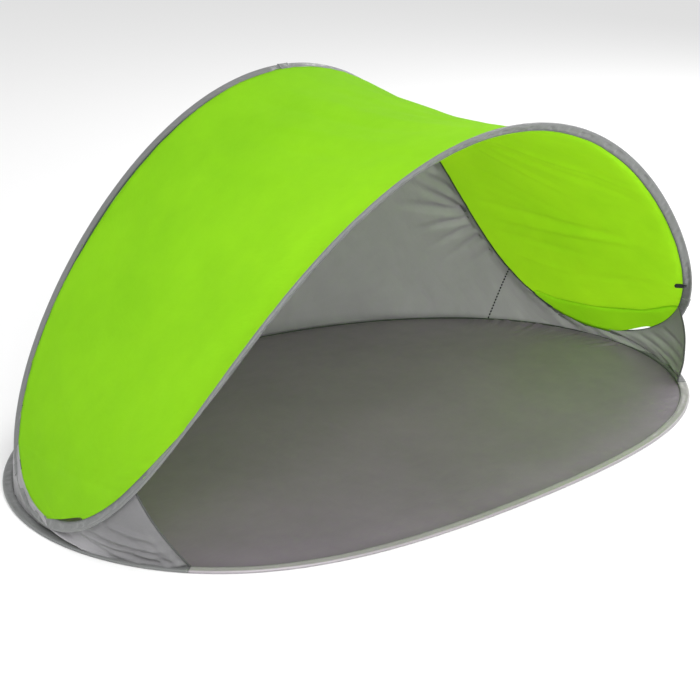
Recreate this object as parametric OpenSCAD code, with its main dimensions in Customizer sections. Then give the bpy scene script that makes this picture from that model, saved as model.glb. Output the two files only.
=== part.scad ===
// Two-person pop up tent: a saddle-shaped spring-steel roof hoop over an oval spring-steel
// floor hoop, both running in fabric sleeves, joined by a roof sheet, a floor sheet and a
// wall in two panels that closes the back and the sides. The front is open.
//
// Frame: +X to the right as seen from the open front, +Y to the back, +Z up.
// Origin: on the ground, under the middle of the floor.
// Every hoop is a curve of an angle s: 0 at the right-hand end, 90 at the middle of the
// back, 180 at the left-hand end and 270 (or -90) at the middle of the front.

/* [Floor] */
// Half the length of the floor hoop, left to right
floor_half_l = 1105; // [900:5:1300]
// Half the depth of the floor hoop, front to back
floor_half_d = 754; // [600:2:900]
// How far the fullest part of the floor sits behind its middle
floor_egg = 34; // [0:1:60]
// Thickness that the floor sheet is given
floor_t = 1.6; // [1:0.1:3]

/* [Roof hoop] */
// Half the length of the roof hoop, lobe to lobe
roof_half_l = 1095; // [950:5:1300]
// Height of the hoop's wire at its two lobes
lobe_z = 40; // [32:1:60]
// Rise of the arches above the lobes
arch_rise = 952; // [700:2:1000]
// Reach of each arch to the front and back of the hoop's middle
arch_reach = 542; // [450:2:620]
// Middle of the hoop behind the middle of the floor
roof_mid_y = -124; // [-180:2:-80]
// Fullness of the arches at their shoulders, front to back
shoulder_bow = 100; // [60:2:130]
// Extra height of the front arch's shoulders over the back arch's
shoulder_lift = 60; // [30:2:80]
// Height that the roof sheet dips midway between the arches
roof_dip = 45; // [5:1:60]
// Angle that the front arch's sleeve turns down into the tent at its top
front_tilt = 56; // [30:1:58]
// Angle that the back arch's sleeve turns down into the tent at its top
rear_tilt = 22; // [5:1:30]
// Depth over which the roof sheet's front edge turns back level
front_curl = 45; // [20:1:50]
// Thickness that the roof sheet is given
roof_t = 1.4; // [1:0.1:3]

/* [Wire and sleeves] */
// Diameter of the spring wire
wire_d = 3.2; // [2.5:0.1:4]
// Width of a sleeve from the wire to its seam
sleeve_w = 22; // [16:1:26]
// Gap between each end of a sleeve and the place where the hoop's wires meet
sleeve_gap = 10.5; // [9:0.5:12]
// Length of a crimped ferrule
ferrule_l = 16; // [12:1:20]

/* [Walls] */
// Thickness that the wall panels are given
wall_t = 1.2; // [1:0.1:3]
// Angle on the roof hoop where the side walls end, in front of the lobes
wall_top_s = 19; // [14:1:24]
// Angle on the floor hoop where the side walls end
wall_foot_s = 31; // [26:1:34]
// Width of the tape over the seam at the middle of the back
back_tape_w = 14; // [10:1:24]
// Diameter of the piping on the side walls' front edges
piping_d = 6; // [4:0.5:8]

/* [Fittings] */
// Width of the webbing tab inside the front arch
tab_w = 13; // [10:1:20]
// Length of the webbing tab inside the front arch
tab_l = 35; // [25:1:50]
// Inner radius of a peg eyelet
eyelet_r = 5; // [4:0.5:7]
// Width of a peg tab
peg_tab_w = 32; // [26:1:40]
// Angles on the floor hoop of the peg tabs
peg_tab_s = [60, 90, 120];
// Angles on the back arch of the guy loops
guy_loop_s = [58, 122];

/* [Hidden] */

EPS = 0.5;                        // step for a curve's direction, in degrees
WIRE_R = wire_d/2;
FERRULE_R = WIRE_R + 1.0;         // outside of a ferrule
FERRULE_BORE = WIRE_R + 0.5;      // the wire bends a little inside it
SLEEVE_H = WIRE_R + 2.6;          // half the sleeve's height over the wire
SLEEVE_T = 0.9;                   // the sleeve's own thickness
FLOOR_Z = SLEEVE_H + 0.2;         // height of the floor hoop's wire
SEAM_N = sleeve_w + 0.8;          // where a sheet starts, inwards from the wire
SPLIT_S = -wall_top_s;            // the roof hoop's two wires meet over the side walls' edges
FLOOR_GAP_S = 0.1;                // half the gap between the floor's two sleeves
REAR_STEPS = 84;                  // steps along the back of the roof hoop, lobes included
FRONT_STEPS = 56;                 // steps along the front arch
ROOF_STEPS = 64;                  // steps along the roof sheet and its tape
FLOOR_STEPS = 108;                // steps round the floor hoop
WALL_STEPS = 34;                  // steps along one wall panel
WALL_ROWS = 6;                    // steps down a wall panel
// Shares of the way from the back edge of the roof sheet to its front edge.
ROOF_ROWS = [0, 0.06, 0.15, 0.26, 0.38, 0.5, 0.62, 0.74, 0.84, 0.9, 0.94, 0.97, 1];

// Small waves that fit each hoop's oval to the way that the cloth pulls it, by harmonic.
FLOOR_WAVES = [22, 10];           // third and fourth, in plan
PLAN_WAVES = [-31, 13, -8];       // roof hoop in plan: fourth, fifth and sixth
HEIGHT_WAVES = [34, 11, 6];       // roof hoop in height: first, fifth and sixth
SPINE_SHARE = 0.88;               // how much nearer the middle the roof's spine is
REAR_TILT_POWER = 24;             // keeps the back arch's tilt near its top
FRONT_TILT_FROM = sin(wall_top_s); // the front arch's tilt starts past the side walls
FRONT_TILT_OVER = 0.34;           // and is full within this much more of the sine

ROOF_END_S = 3;                   // the roof sheet's edge, where it nears a lobe's tip
TAPE_S = 24;                      // where the roof's inner seam tape starts
TAPE_NEAR = 6;                    // from the sheet's edge to the tape
TAPE_W = 9;                       // the tape's width
TAPE_DROP = 0.8;                  // the tape's clearance under the sheet
TAB_S = -27;                      // angle on the roof hoop of the webbing tab
FERRULE_S = -60;                  // angle on the floor hoop of its ferrule
PEG_TAB_IN = SLEEVE_H + 0.8;      // from the wire to the tab's inner edge
PEG_TAB_OUT = PEG_TAB_IN + 24;    // from the wire to the eyelet
PEG_TAB_Z = 0.3;                  // the tab lies on the ground
PEG_TAB_T = 1.8;                  // two layers of webbing
GUY_LOOP_R = [12, 10.4];          // a guy loop's radius outside and inside
GUY_LOOP_W = 6;                   // its width along the hoop
GUY_LOOP_FLAT = 0.7;              // its height as a share of its depth

// ---- curves ----------------------------------------------------------------------------

// Wire of the floor hoop: an oval that is fuller towards the back.
function floor_at(s) = [
    floor_half_l*cos(s),
    floor_half_d*sin(s) - floor_egg*(1 + cos(2*s)) + FLOOR_WAVES[0]*(sin(3*s) + sin(s))
        - FLOOR_WAVES[1]*(1 - cos(4*s)),
    FLOOR_Z];

// Wire of the roof hoop: two arches that lean apart and run together at the lobes.
function roof_at(s) = [
    roof_half_l*cos(s),
    roof_mid_y + arch_reach*sin(s) + shoulder_bow*sin(3*s) + PLAN_WAVES[0]*cos(4*s)
        + PLAN_WAVES[1]*sin(5*s) + PLAN_WAVES[2]*cos(6*s),
    lobe_z + arch_rise*pow(sin(s), 2) - HEIGHT_WAVES[0]*sin(s) - shoulder_lift*sin(3*s)
        - HEIGHT_WAVES[1]*sin(5*s) - HEIGHT_WAVES[2]*(1 - cos(6*s))];

function unit(v) = v/norm(v);
function mix(a, b, k) = a + (b - a)*k;
function ease(x) = let(k = min(1, max(0, x))) k*k*(3 - 2*k);
function roof_dir(s) = unit(roof_at(s + EPS) - roof_at(s - EPS));
function floor_dir(s) = unit(floor_at(s + EPS) - floor_at(s - EPS));

// Midway between the arches, on the roof, a little nearer the middle than the hoop at s.
function roof_spine(s) = let(a = acos(SPINE_SHARE*cos(s)))
    mix(roof_at(a), roof_at(-a), 0.5);

// Direction from the wire straight towards the spine, square to the wire.
function to_spine(s) = let(t = roof_dir(s), d = roof_spine(s) - roof_at(s))
    unit(d - (d*t)*t);

// Direction square to the wire and to that, on the roof's top side.
function over_spine(s) = let(u = cross(roof_dir(s), to_spine(s))) u[2] < 0 ? -u : u;

// How far the cloth at the wire turns down into the tent, in degrees.
function edge_tilt(s) = sin(s) < 0
    ? front_tilt*ease((-sin(s) - FRONT_TILT_FROM)/FRONT_TILT_OVER)
    : rear_tilt*pow(sin(s), REAR_TILT_POWER);

// Direction from the wire along its sleeve.
function roof_in(s) = cos(edge_tilt(s))*to_spine(s) - sin(edge_tilt(s))*over_spine(s);

// Direction out of the sleeve's top side.
function roof_up(s) = cos(edge_tilt(s))*over_spine(s) + sin(edge_tilt(s))*to_spine(s);

// A point set in by n and raised by b from the roof wire at s.
function roof_frame(s, n, b) = roof_at(s) + n*roof_in(s) + b*roof_up(s);

// A point set in by n and raised by b from the floor wire at s.
function floor_frame(s, n, b) = let(t = floor_dir(s))
    floor_at(s) + n*[-t[1], t[0], 0] + [0, 0, b];

// The roof sheet at angle s from back (k = 0) to front (k = 1), raised by b. It leaves the
// front arch's sleeve in the sleeve's own direction, then turns level.
function roof_sheet_at(s, k, b) = let(
        back = roof_frame(s, SEAM_N, b),
        front = roof_frame(-s, SEAM_N, b),
        x = (1 - k)*norm(back - front))
    mix(back, front, k)
    + k*x*exp(-x/front_curl)*(roof_in(-s) - unit(back - front))
    - [0, 0, roof_dip*4*k*(1 - k)*pow(sin(s), 2)];

// Angle on the floor hoop that faces the roof hoop's angle s across the wall.
function foot_s(s) = 90 + (s - 90)*(90 + wall_foot_s)/(90 + wall_top_s);

// The wall at the roof hoop's angle s, from its top (k = 0) to its foot (k = 1).
function wall_at(s, k) = mix(
    roof_frame(s, SEAM_N + 2, -roof_t/2 - 1.5),
    floor_frame(foot_s(s), SEAM_N + 2, floor_t + 0.8 - FLOOR_Z), k);

// Direction out of the wall, away from the inside of the tent.
function wall_out(s) = unit(cross(wall_at(s, 1) - wall_at(s, 0),
                                  wall_at(s + EPS, 0.5) - wall_at(s - EPS, 0.5)));

// ---- lofts -----------------------------------------------------------------------------

// Triangles between rings of k points, from point `first` on; `loop` closes the row of rings.
// The two halves of a ring are cut along the same diagonals, so a sheet keeps its thickness.
function skin(rings, k, first = 0, loop = false, flip = false) = [
    for (i = [0:rings - (loop ? 1 : 2)], j = [0:k - 1])
        let(m = (i + 1)%rings,
            a = first + i*k + j, b = first + i*k + (j + 1)%k,
            c = first + m*k + (j + 1)%k, d = first + m*k + j,
            cut = j < k/2 ? [[a, b, c], [a, c, d]] : [[a, b, d], [b, c, d]])
        each flip ? cut : [for (f = cut) [f[0], f[2], f[1]]]];

// Triangles that close a ring made of two facing rows, such as the edge of a sheet.
function strip_cap(k, first, flip = false) = [
    for (j = [0:k/2 - 2])
        let(a = first + j, b = first + j + 1, c = first + k - 2 - j, d = first + k - 1 - j)
        each flip ? [[a, c, b], [a, d, c]] : [[a, b, c], [a, c, d]]];

// Triangles that close a tube's end between its outer ring and its inner ring.
function tube_cap(k, outer, inner, flip = false) = [
    for (j = [0:k - 1])
        let(a = outer + j, b = outer + (j + 1)%k, c = inner + (j + 1)%k, d = inner + j)
        each flip ? [[a, c, b], [a, d, c]] : [[a, b, c], [a, c, d]]];

function flatten(rows) = [for (row = rows) each row];

// A solid through rings of equal length, open at both ends of the row and capped there.
module loft(rings, flip = false) {
    k = len(rings[0]);
    last = (len(rings) - 1)*k;
    polyhedron(flatten(rings),
        concat(skin(len(rings), k, flip = flip),
               strip_cap(k, 0, flip), strip_cap(k, last, !flip)));
}

// A solid through rings that come back to the first one.
module loft_loop(rings, flip = false) {
    k = len(rings[0]);
    polyhedron(flatten(rings), skin(len(rings), k, loop = true, flip = flip));
}

// A hollow tube between outer and inner rings, open at both ends.
module loft_tube(outer, inner, flip = false) {
    k = len(outer[0]);
    n = len(outer);
    all = n*k;
    polyhedron(concat(flatten(outer), flatten(inner)),
        concat(skin(n, k, 0, flip = flip), skin(n, k, all, flip = !flip),
               tube_cap(k, 0, all, flip), tube_cap(k, all - k, 2*all - k, !flip)));
}

// ---- sections --------------------------------------------------------------------------

// Half of a sleeve's outline as [inwards, height], drawn in by e: round over the wire at
// its outer edge, then flat to its seam.
function sleeve_half(e) = [
    [-SLEEVE_H - 0.2 + e, 0],
    [-0.72*SLEEVE_H + 0.7*e, 0.72*SLEEVE_H - 0.7*e],
    [0.6, SLEEVE_H - e],
    [sleeve_w/2, 0.75*SLEEVE_H - e],
    [sleeve_w - 1.6*e, 1.5 - 0.9*e]];

// The whole outline: the half, and its mirror image without the point on the edge.
function sleeve_outline(e = 0) = let(h = sleeve_half(e))
    concat(h, [for (i = [len(h) - 1:-1:1]) [h[i][0], -h[i][1]]]);

// A regular outline of a round bar.
function bar(r, k = 6) = [for (i = [0:k - 1]) [r*cos(360*i/k), r*sin(360*i/k)]];

function roof_rings(angles, outline) = [
    for (s = angles) [for (p = outline) roof_frame(s, p[0], p[1])]];

function floor_rings(angles, outline) = [
    for (s = angles) [for (p = outline) floor_frame(s, p[0], p[1])]];

// Angles along the back or the front of the roof hoop, each end `gap` mm short of the split.
function hoop_angles(rear, gap) =
    let(d = gap/norm(roof_at(SPLIT_S + 1) - roof_at(SPLIT_S)),
        from = rear ? SPLIT_S + d : 180 - SPLIT_S + d,
        to = rear ? 180 - SPLIT_S - d : 360 + SPLIT_S - d,
        steps = rear ? REAR_STEPS : FRONT_STEPS)
    [for (i = [0:steps]) mix(from, to, i/steps)];

// ---- floor -----------------------------------------------------------------------------

module floor_sheet() {
    color("dimgray") linear_extrude(floor_t)
        polygon([for (i = [0:FLOOR_STEPS - 1])
            let(p = floor_frame(360*i/FLOOR_STEPS, SEAM_N, 0)) [p[0], p[1]]]);
}

// One of the two sleeves on the floor hoop; they meet under the side walls' front edges.
module floor_sleeve(from, to) {
    angles = [for (i = [0:FLOOR_STEPS/2]) mix(from, to, 2*i/FLOOR_STEPS)];
    color("lightgray") loft_tube(floor_rings(angles, sleeve_outline()),
                              floor_rings(angles, sleeve_outline(SLEEVE_T)), flip = true);
}

module floor_sleeve_rear() {
    floor_sleeve(-wall_foot_s, 180 + wall_foot_s);
}

module floor_sleeve_front() {
    floor_sleeve(180 + wall_foot_s + FLOOR_GAP_S, 360 - wall_foot_s - FLOOR_GAP_S);
}

module floor_wire() {
    color("gainsboro")
        loft_loop(floor_rings([for (i = [1:FLOOR_STEPS]) 360*i/FLOOR_STEPS], bar(WIRE_R)));
}

// A crimped tube round a wire, centred at p and lying along direction d.
module ferrule(p, d, length = ferrule_l) {
    yaw = atan2(d[1], d[0]);
    tip = acos(d[2]);
    color("darkgray") translate(p) rotate([0, tip, yaw]) difference() {
        cylinder(r = FERRULE_R, h = length, center = true, $fn = 32);
        cylinder(r = FERRULE_BORE, h = length + 1, center = true, $fn = 32);
    }
}

module floor_ferrule() {
    ferrule(floor_at(FERRULE_S), floor_dir(FERRULE_S));
}

// Places its children at a peg tab: +X out from the hoop, the ground at z = 0.
module at_peg_tab(s) {
    d = floor_dir(s);
    p = floor_at(s);
    translate([p[0], p[1], 0]) rotate([0, 0, atan2(-d[0], d[1])]) children();
}

module peg_tabs() {
    color("black") for (s = peg_tab_s) at_peg_tab(s) translate([0, 0, PEG_TAB_Z])
        linear_extrude(PEG_TAB_T) difference() {
            union() {
                translate([PEG_TAB_IN, -peg_tab_w/2])
                    square([PEG_TAB_OUT - PEG_TAB_IN, peg_tab_w]);
                translate([PEG_TAB_OUT, 0]) circle(r = peg_tab_w/2, $fn = 48);
            }
            translate([PEG_TAB_OUT, 0]) circle(r = eyelet_r + 1.2, $fn = 48);
        }
}

module peg_eyelets() {
    color("silver") for (s = peg_tab_s) at_peg_tab(s)
        translate([PEG_TAB_OUT, 0, PEG_TAB_Z]) difference() {
            union() {
                cylinder(r = eyelet_r + 1.1, h = PEG_TAB_T + 0.8, $fn = 48);
                translate([0, 0, PEG_TAB_T + 0.1]) cylinder(r = eyelet_r + 3.5, h = 0.7, $fn = 48);
            }
            translate([0, 0, -1]) cylinder(r = eyelet_r, h = PEG_TAB_T + 4, $fn = 48);
        }
}

// ---- walls -----------------------------------------------------------------------------

function wall_ring(s) = let(n = wall_out(s)*wall_t/2, rows = [0:WALL_ROWS])
    concat([for (j = rows) wall_at(s, j/WALL_ROWS) + n],
           [for (j = rows) wall_at(s, 1 - j/WALL_ROWS) - n]);

module wall(side) {
    from = side > 0 ? -wall_top_s : 90.15;
    to = side > 0 ? 89.85 : 180 + wall_top_s;
    color("gray") loft([for (i = [0:WALL_STEPS]) wall_ring(mix(from, to, i/WALL_STEPS))]);
}

module wall_right() { wall(1); }
module wall_left() { wall(-1); }

// Tape down the seam between the wall's two panels, on the outside.
module back_seam_tape() {
    rise = wall_t/2 + 0.3;
    out = wall_out(90);
    color("dimgray") loft([for (j = [0:8]) let(p = wall_at(90, 0.02 + 0.95*j/8))
        [p + [back_tape_w/2, 0, 0] + out*rise, p + [back_tape_w/2, 0, 0] + out*(rise + 1),
         p - [back_tape_w/2, 0, 0] + out*(rise + 1), p - [back_tape_w/2, 0, 0] + out*rise]],
        flip = true);
}

// Piping on a side wall's front edge.
module wall_piping(side) {
    s = side > 0 ? -wall_top_s : 180 + wall_top_s;
    ahead = wall_at(s, 0.5) - wall_at(s + side*EPS, 0.5);
    run = unit(wall_at(s, 1) - wall_at(s, 0));
    n = unit(ahead - (ahead*run)*run);
    b = cross(run, n);
    r = piping_d/2;
    color("dimgray") loft([for (j = [0:8])
        let(p = wall_at(s, 0.05 + 0.88*j/8) + n*(r + 0.4))
        [for (q = bar(r, 8)) p + n*q[0] + b*q[1]]]);
}

module wall_piping_right() { wall_piping(1); }
module wall_piping_left() { wall_piping(-1); }

// ---- roof ------------------------------------------------------------------------------

module roof_sheet() {
    last = len(ROOF_ROWS) - 1;
    color("yellowgreen") loft([for (i = [0:ROOF_STEPS])
        let(s = mix(ROOF_END_S, 180 - ROOF_END_S, i/ROOF_STEPS))
        concat([for (k = ROOF_ROWS) roof_sheet_at(s, k, roof_t/2)],
               [for (j = [0:last]) roof_sheet_at(s, ROOF_ROWS[last - j], -roof_t/2)])],
        flip = true);
}

// Tape along the seam where the roof meets the wall, on the inside.
module roof_seam_tape() {
    high = -roof_t/2 - TAPE_DROP;
    color("darkolivegreen") loft([for (i = [0:ROOF_STEPS])
        let(s = mix(TAPE_S, 180 - TAPE_S, i/ROOF_STEPS),
            w = norm(roof_sheet_at(s, 0, 0) - roof_sheet_at(s, 1, 0)),
            near = TAPE_NEAR/w,
            far = (TAPE_NEAR + TAPE_W)/w)
        [roof_sheet_at(s, near, high), roof_sheet_at(s, far, high),
         roof_sheet_at(s, far, high - 1), roof_sheet_at(s, near, high - 1)]], flip = true);
}

module roof_sleeve(rear) {
    angles = hoop_angles(rear, sleeve_gap);
    color("darkgray") loft_tube(roof_rings(angles, sleeve_outline()),
                                roof_rings(angles, sleeve_outline(SLEEVE_T)), flip = true);
}

module roof_sleeve_rear() { roof_sleeve(true); }
module roof_sleeve_front() { roof_sleeve(false); }

module roof_wire(rear) {
    color("gainsboro") loft(roof_rings(hoop_angles(rear, 2), bar(WIRE_R)));
}

module roof_wire_rear() { roof_wire(true); }
module roof_wire_front() { roof_wire(false); }

// A ferrule on the back wire's end at s, where it meets the front wire.
module hoop_ferrule(end, toward) {
    s = end + toward*(ferrule_l/2 + 2.5)/norm(roof_at(end + 1) - roof_at(end));
    ferrule(roof_at(s), roof_dir(s));
}

module ferrule_right() { hoop_ferrule(SPLIT_S, 1); }
module ferrule_left() { hoop_ferrule(180 - SPLIT_S, -1); }

// One row of points round a guy loop centred at p, standing out along o.
function guy_row(p, o, u, r) = [for (q = bar(r, 12)) p + o*q[0] + u*q[1]*GUY_LOOP_FLAT];

// Webbing loops for guy lines, hanging outside the wall from the back arch's sleeve.
module guy_loops() {
    color("black") for (s = guy_loop_s) {
        o = -over_spine(s);
        half_w = roof_dir(s)*GUY_LOOP_W/2;
        p = roof_at(s) + o*(SLEEVE_H + 1 + GUY_LOOP_R[0]);
        loft_tube(
            [for (k = [-1, 1]) guy_row(p + k*half_w, o, -to_spine(s), GUY_LOOP_R[0])],
            [for (k = [-1, 1]) guy_row(p + k*half_w, o, -to_spine(s), GUY_LOOP_R[1])],
            flip = true);
    }
}

// Webbing tab sewn inside the front arch's sleeve, hanging into the tent.
module webbing_tab() {
    color("black") loft([for (k = [0:1])
        let(d = k*tab_l, t = roof_dir(TAB_S)*tab_w/2)
        [roof_frame(TAB_S, sleeve_w - 6 + d, -5) + t,
         roof_frame(TAB_S, sleeve_w - 6 + d, -6.6) + t,
         roof_frame(TAB_S, sleeve_w - 6 + d, -6.6) - t,
         roof_frame(TAB_S, sleeve_w - 6 + d, -5) - t]]);
}

// ---- assembly --------------------------------------------------------------------------

floor_sheet();
floor_sleeve_rear();
floor_sleeve_front();
floor_wire();
floor_ferrule();
peg_tabs();
peg_eyelets();
wall_right();
wall_left();
back_seam_tape();
wall_piping_right();
wall_piping_left();
roof_sheet();
roof_seam_tape();
roof_sleeve_rear();
roof_wire_rear();
guy_loops();
ferrule_right();
ferrule_left();
roof_sleeve_front();
roof_wire_front();
webbing_tab();
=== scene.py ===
"""Dresses the frame of a two-person pop up tent.

The tent is sewn cloth on two wire hoops: a lime roof sheet inside a saddle-shaped roof hoop,
two grey wall panels round the back and the sides, and a dark floor inside an oval floor hoop.
Everything is in metres: +X to the right as seen from the open front, +Y to the back, +Z up.
Every hoop is a curve of an angle s in degrees: 0 at the right-hand end, 90 at the middle of
the back, 180 at the left-hand end and -90 (or 270) at the middle of the front.
"""

import logging
from dataclasses import dataclass, field
from enum import Enum
from typing import Callable, Iterable, Optional, Sequence

import bpy
import numpy as np
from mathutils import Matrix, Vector


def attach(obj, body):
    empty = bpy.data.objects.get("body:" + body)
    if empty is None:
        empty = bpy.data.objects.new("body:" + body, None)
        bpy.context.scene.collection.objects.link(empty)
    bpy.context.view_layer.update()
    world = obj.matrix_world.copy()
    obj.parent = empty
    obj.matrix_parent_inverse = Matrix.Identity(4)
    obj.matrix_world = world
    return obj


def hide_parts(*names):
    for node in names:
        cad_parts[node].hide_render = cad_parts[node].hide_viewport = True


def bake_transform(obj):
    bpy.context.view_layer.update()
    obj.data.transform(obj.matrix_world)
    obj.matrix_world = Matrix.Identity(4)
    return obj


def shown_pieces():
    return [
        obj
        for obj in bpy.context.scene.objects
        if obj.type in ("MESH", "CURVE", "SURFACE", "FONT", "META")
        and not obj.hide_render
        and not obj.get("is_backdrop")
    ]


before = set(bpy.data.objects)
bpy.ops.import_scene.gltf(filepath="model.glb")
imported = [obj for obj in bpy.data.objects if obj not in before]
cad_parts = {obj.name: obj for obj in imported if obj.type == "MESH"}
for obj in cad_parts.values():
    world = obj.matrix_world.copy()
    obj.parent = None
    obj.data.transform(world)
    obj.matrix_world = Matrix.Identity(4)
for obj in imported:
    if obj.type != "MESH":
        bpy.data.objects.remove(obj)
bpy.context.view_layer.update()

LOG = logging.getLogger("tent")

Array = np.ndarray
Colour = tuple[float, float, float]
Place = tuple[float, float]

MM = 0.001
DEGREE_STEP = 0.5
# One turn in radians, which a wave texture's scale is divided by.
WAVE_TURN = 6.283
ROOT = "root"


class Fade(Enum):
    """How the height of a fold runs along it."""

    BOTH_ENDS = "both"
    FAR_END = "far"
    NEVER = "never"


class Thread(Enum):
    """The threads that the tent is sewn with."""

    GREY = "thread_grey"
    DARK = "thread_dark"
    BLACK = "thread_black"


# ---- small maths ---------------------------------------------------------------------------


def unit(v: Array) -> Array:
    """Vectors of length 1 along v's last axis."""
    return v / np.maximum(np.linalg.norm(v, axis=-1, keepdims=True), 1e-12)


def dot(a: Array, b: Array) -> Array:
    """Dot products along the last axis, kept as an axis of length 1."""
    return np.sum(a * b, axis=-1, keepdims=True)


def ease(x: Array) -> Array:
    """A smooth step from 0 at x = 0 to 1 at x = 1."""
    x = np.clip(x, 0.0, 1.0)
    return x * x * (3.0 - 2.0 * x)


def lengths(points: Array, axis: int) -> Array:
    """The distance run along one axis of a grid of points, from 0 at its start.

    Args:
        points: A grid of points, with x, y and z on the last axis.
        axis: The grid axis to run along.

    Returns:
        One distance for each point.
    """
    steps = np.linalg.norm(np.diff(points, axis=axis), axis=-1)
    pad = [(0, 0)] * steps.ndim
    pad[axis] = (1, 0)
    return np.cumsum(np.pad(steps, pad), axis=axis)


# ---- the hoops -----------------------------------------------------------------------------


@dataclass(frozen=True)
class Hoops:
    """The wires of the two hoops, and the places that are measured from them."""

    floor_half_l: float = 1.105
    floor_half_d: float = 0.754
    floor_egg: float = 0.034
    floor_waves: tuple[float, float] = (0.022, 0.010)
    floor_z: float = 0.0044
    roof_half_l: float = 1.095
    lobe_z: float = 0.040
    arch_rise: float = 0.952
    arch_reach: float = 0.542
    roof_mid_y: float = -0.124
    shoulder_bow: float = 0.100
    shoulder_lift: float = 0.060
    roof_dip: float = 0.045
    plan_waves: tuple[float, float, float] = (-0.031, 0.013, -0.008)
    height_waves: tuple[float, float, float] = (0.034, 0.011, 0.006)
    spine_share: float = 0.88
    front_tilt: float = 56.0
    front_tilt_over: float = 0.34
    front_curl: float = 0.045
    rear_tilt: float = 22.0
    rear_tilt_power: float = 24.0
    wall_top_s: float = 19.0
    wall_foot_s: float = 31.0

    def floor_wire(self, s: Array) -> Array:
        """The middle of the floor hoop's wire at angles s."""
        a = np.radians(s)
        third, fourth = self.floor_waves
        y = (
            self.floor_half_d * np.sin(a)
            - self.floor_egg * (1 + np.cos(2 * a))
            + third * (np.sin(3 * a) + np.sin(a))
            - fourth * (1 - np.cos(4 * a))
        )
        return np.stack([self.floor_half_l * np.cos(a), y, np.full_like(y, self.floor_z)], -1)

    def roof_wire(self, s: Array) -> Array:
        """The middle of the roof hoop's wire at angles s."""
        a = np.radians(s)
        p4, p5, p6 = self.plan_waves
        h1, h5, h6 = self.height_waves
        y = (
            self.roof_mid_y
            + self.arch_reach * np.sin(a)
            + self.shoulder_bow * np.sin(3 * a)
            + p4 * np.cos(4 * a)
            + p5 * np.sin(5 * a)
            + p6 * np.cos(6 * a)
        )
        z = (
            self.lobe_z
            + self.arch_rise * np.sin(a) ** 2
            - h1 * np.sin(a)
            - self.shoulder_lift * np.sin(3 * a)
            - h5 * np.sin(5 * a)
            - h6 * (1 - np.cos(6 * a))
        )
        return np.stack([self.roof_half_l * np.cos(a), y, z], -1)

    @staticmethod
    def along(wire: Callable[[Array], Array], s: Array) -> Array:
        """The direction of a wire at angles s, the way that s grows."""
        return unit(wire(s + DEGREE_STEP) - wire(s - DEGREE_STEP))

    def to_spine(self, s: Array) -> Array:
        """The direction from the roof wire straight to the spine, square to the wire."""
        a = np.degrees(np.arccos(self.spine_share * np.cos(np.radians(s))))
        middle = (self.roof_wire(a) + self.roof_wire(-a)) / 2
        t = self.along(self.roof_wire, s)
        d = middle - self.roof_wire(s)
        return unit(d - dot(d, t) * t)

    def over_spine(self, s: Array) -> Array:
        """The direction square to the wire and to that, on the roof's top side."""
        u = np.cross(self.along(self.roof_wire, s), self.to_spine(s))
        return np.where(u[..., 2:] < 0, -u, u)

    def tilt(self, s: Array) -> Array:
        """How far the cloth at the roof wire turns down into the tent, in radians."""
        up = np.sin(np.radians(s))
        start = np.sin(np.radians(self.wall_top_s))
        front = self.front_tilt * ease((-up - start) / self.front_tilt_over)
        rear = self.rear_tilt * np.abs(up) ** self.rear_tilt_power
        return np.radians(np.where(up < 0, front, rear))[..., None]

    def inward(self, s: Array) -> Array:
        """The direction from the roof wire along its sleeve, square to the wire."""
        turn = self.tilt(s)
        return np.cos(turn) * self.to_spine(s) - np.sin(turn) * self.over_spine(s)

    def upward(self, s: Array) -> Array:
        """The direction out of the top side of the sleeve on the roof wire."""
        turn = self.tilt(s)
        return np.cos(turn) * self.over_spine(s) + np.sin(turn) * self.to_spine(s)

    def roof_point(self, s: Array, n: Array, b: Array) -> Array:
        """A place set in by n and raised by b from the roof wire at s.

        Args:
            s: Angles on the hoop.
            n: Distances inwards from the wire, in metres.
            b: Distances out of the roof's top side, in metres.

        Returns:
            The places, with x, y and z on the last axis.
        """
        s, n, b = np.broadcast_arrays(np.asarray(s, float), n, b)
        return self.roof_wire(s) + n[..., None] * self.inward(s) + b[..., None] * self.upward(s)

    def floor_point(self, s: Array, n: Array, b: Array) -> Array:
        """A place set in by n and raised by b from the floor wire at s; see roof_point."""
        s, n, b = np.broadcast_arrays(np.asarray(s, float), n, b)
        t = self.along(self.floor_wire, s)
        across = np.stack([-t[..., 1], t[..., 0], np.zeros_like(b)], -1)
        up = np.array([0.0, 0.0, 1.0])
        return self.floor_wire(s) + n[..., None] * across + b[..., None] * up

    def foot_angle(self, s: Array) -> Array:
        """The angle on the floor hoop that faces the roof hoop's angle s across the wall."""
        return 90 + (np.asarray(s) - 90) * (90 + self.wall_foot_s) / (90 + self.wall_top_s)


HOOPS = Hoops()


# ---- meshes --------------------------------------------------------------------------------


def outward(points: Array, faces: Array) -> Array:
    """The faces of a closed shape, turned so that they point outwards.

    Args:
        points: The corners.
        faces: Four-sided faces as rows of corner numbers.

    Returns:
        The same faces, all turned over if the shape was inside out.
    """
    a, b, c, d = (points[faces[:, i]] for i in range(4))
    volume = np.sum(a * np.cross(b, c)) + np.sum(a * np.cross(c, d))
    return faces if volume > 0 else faces[:, ::-1]


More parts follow.
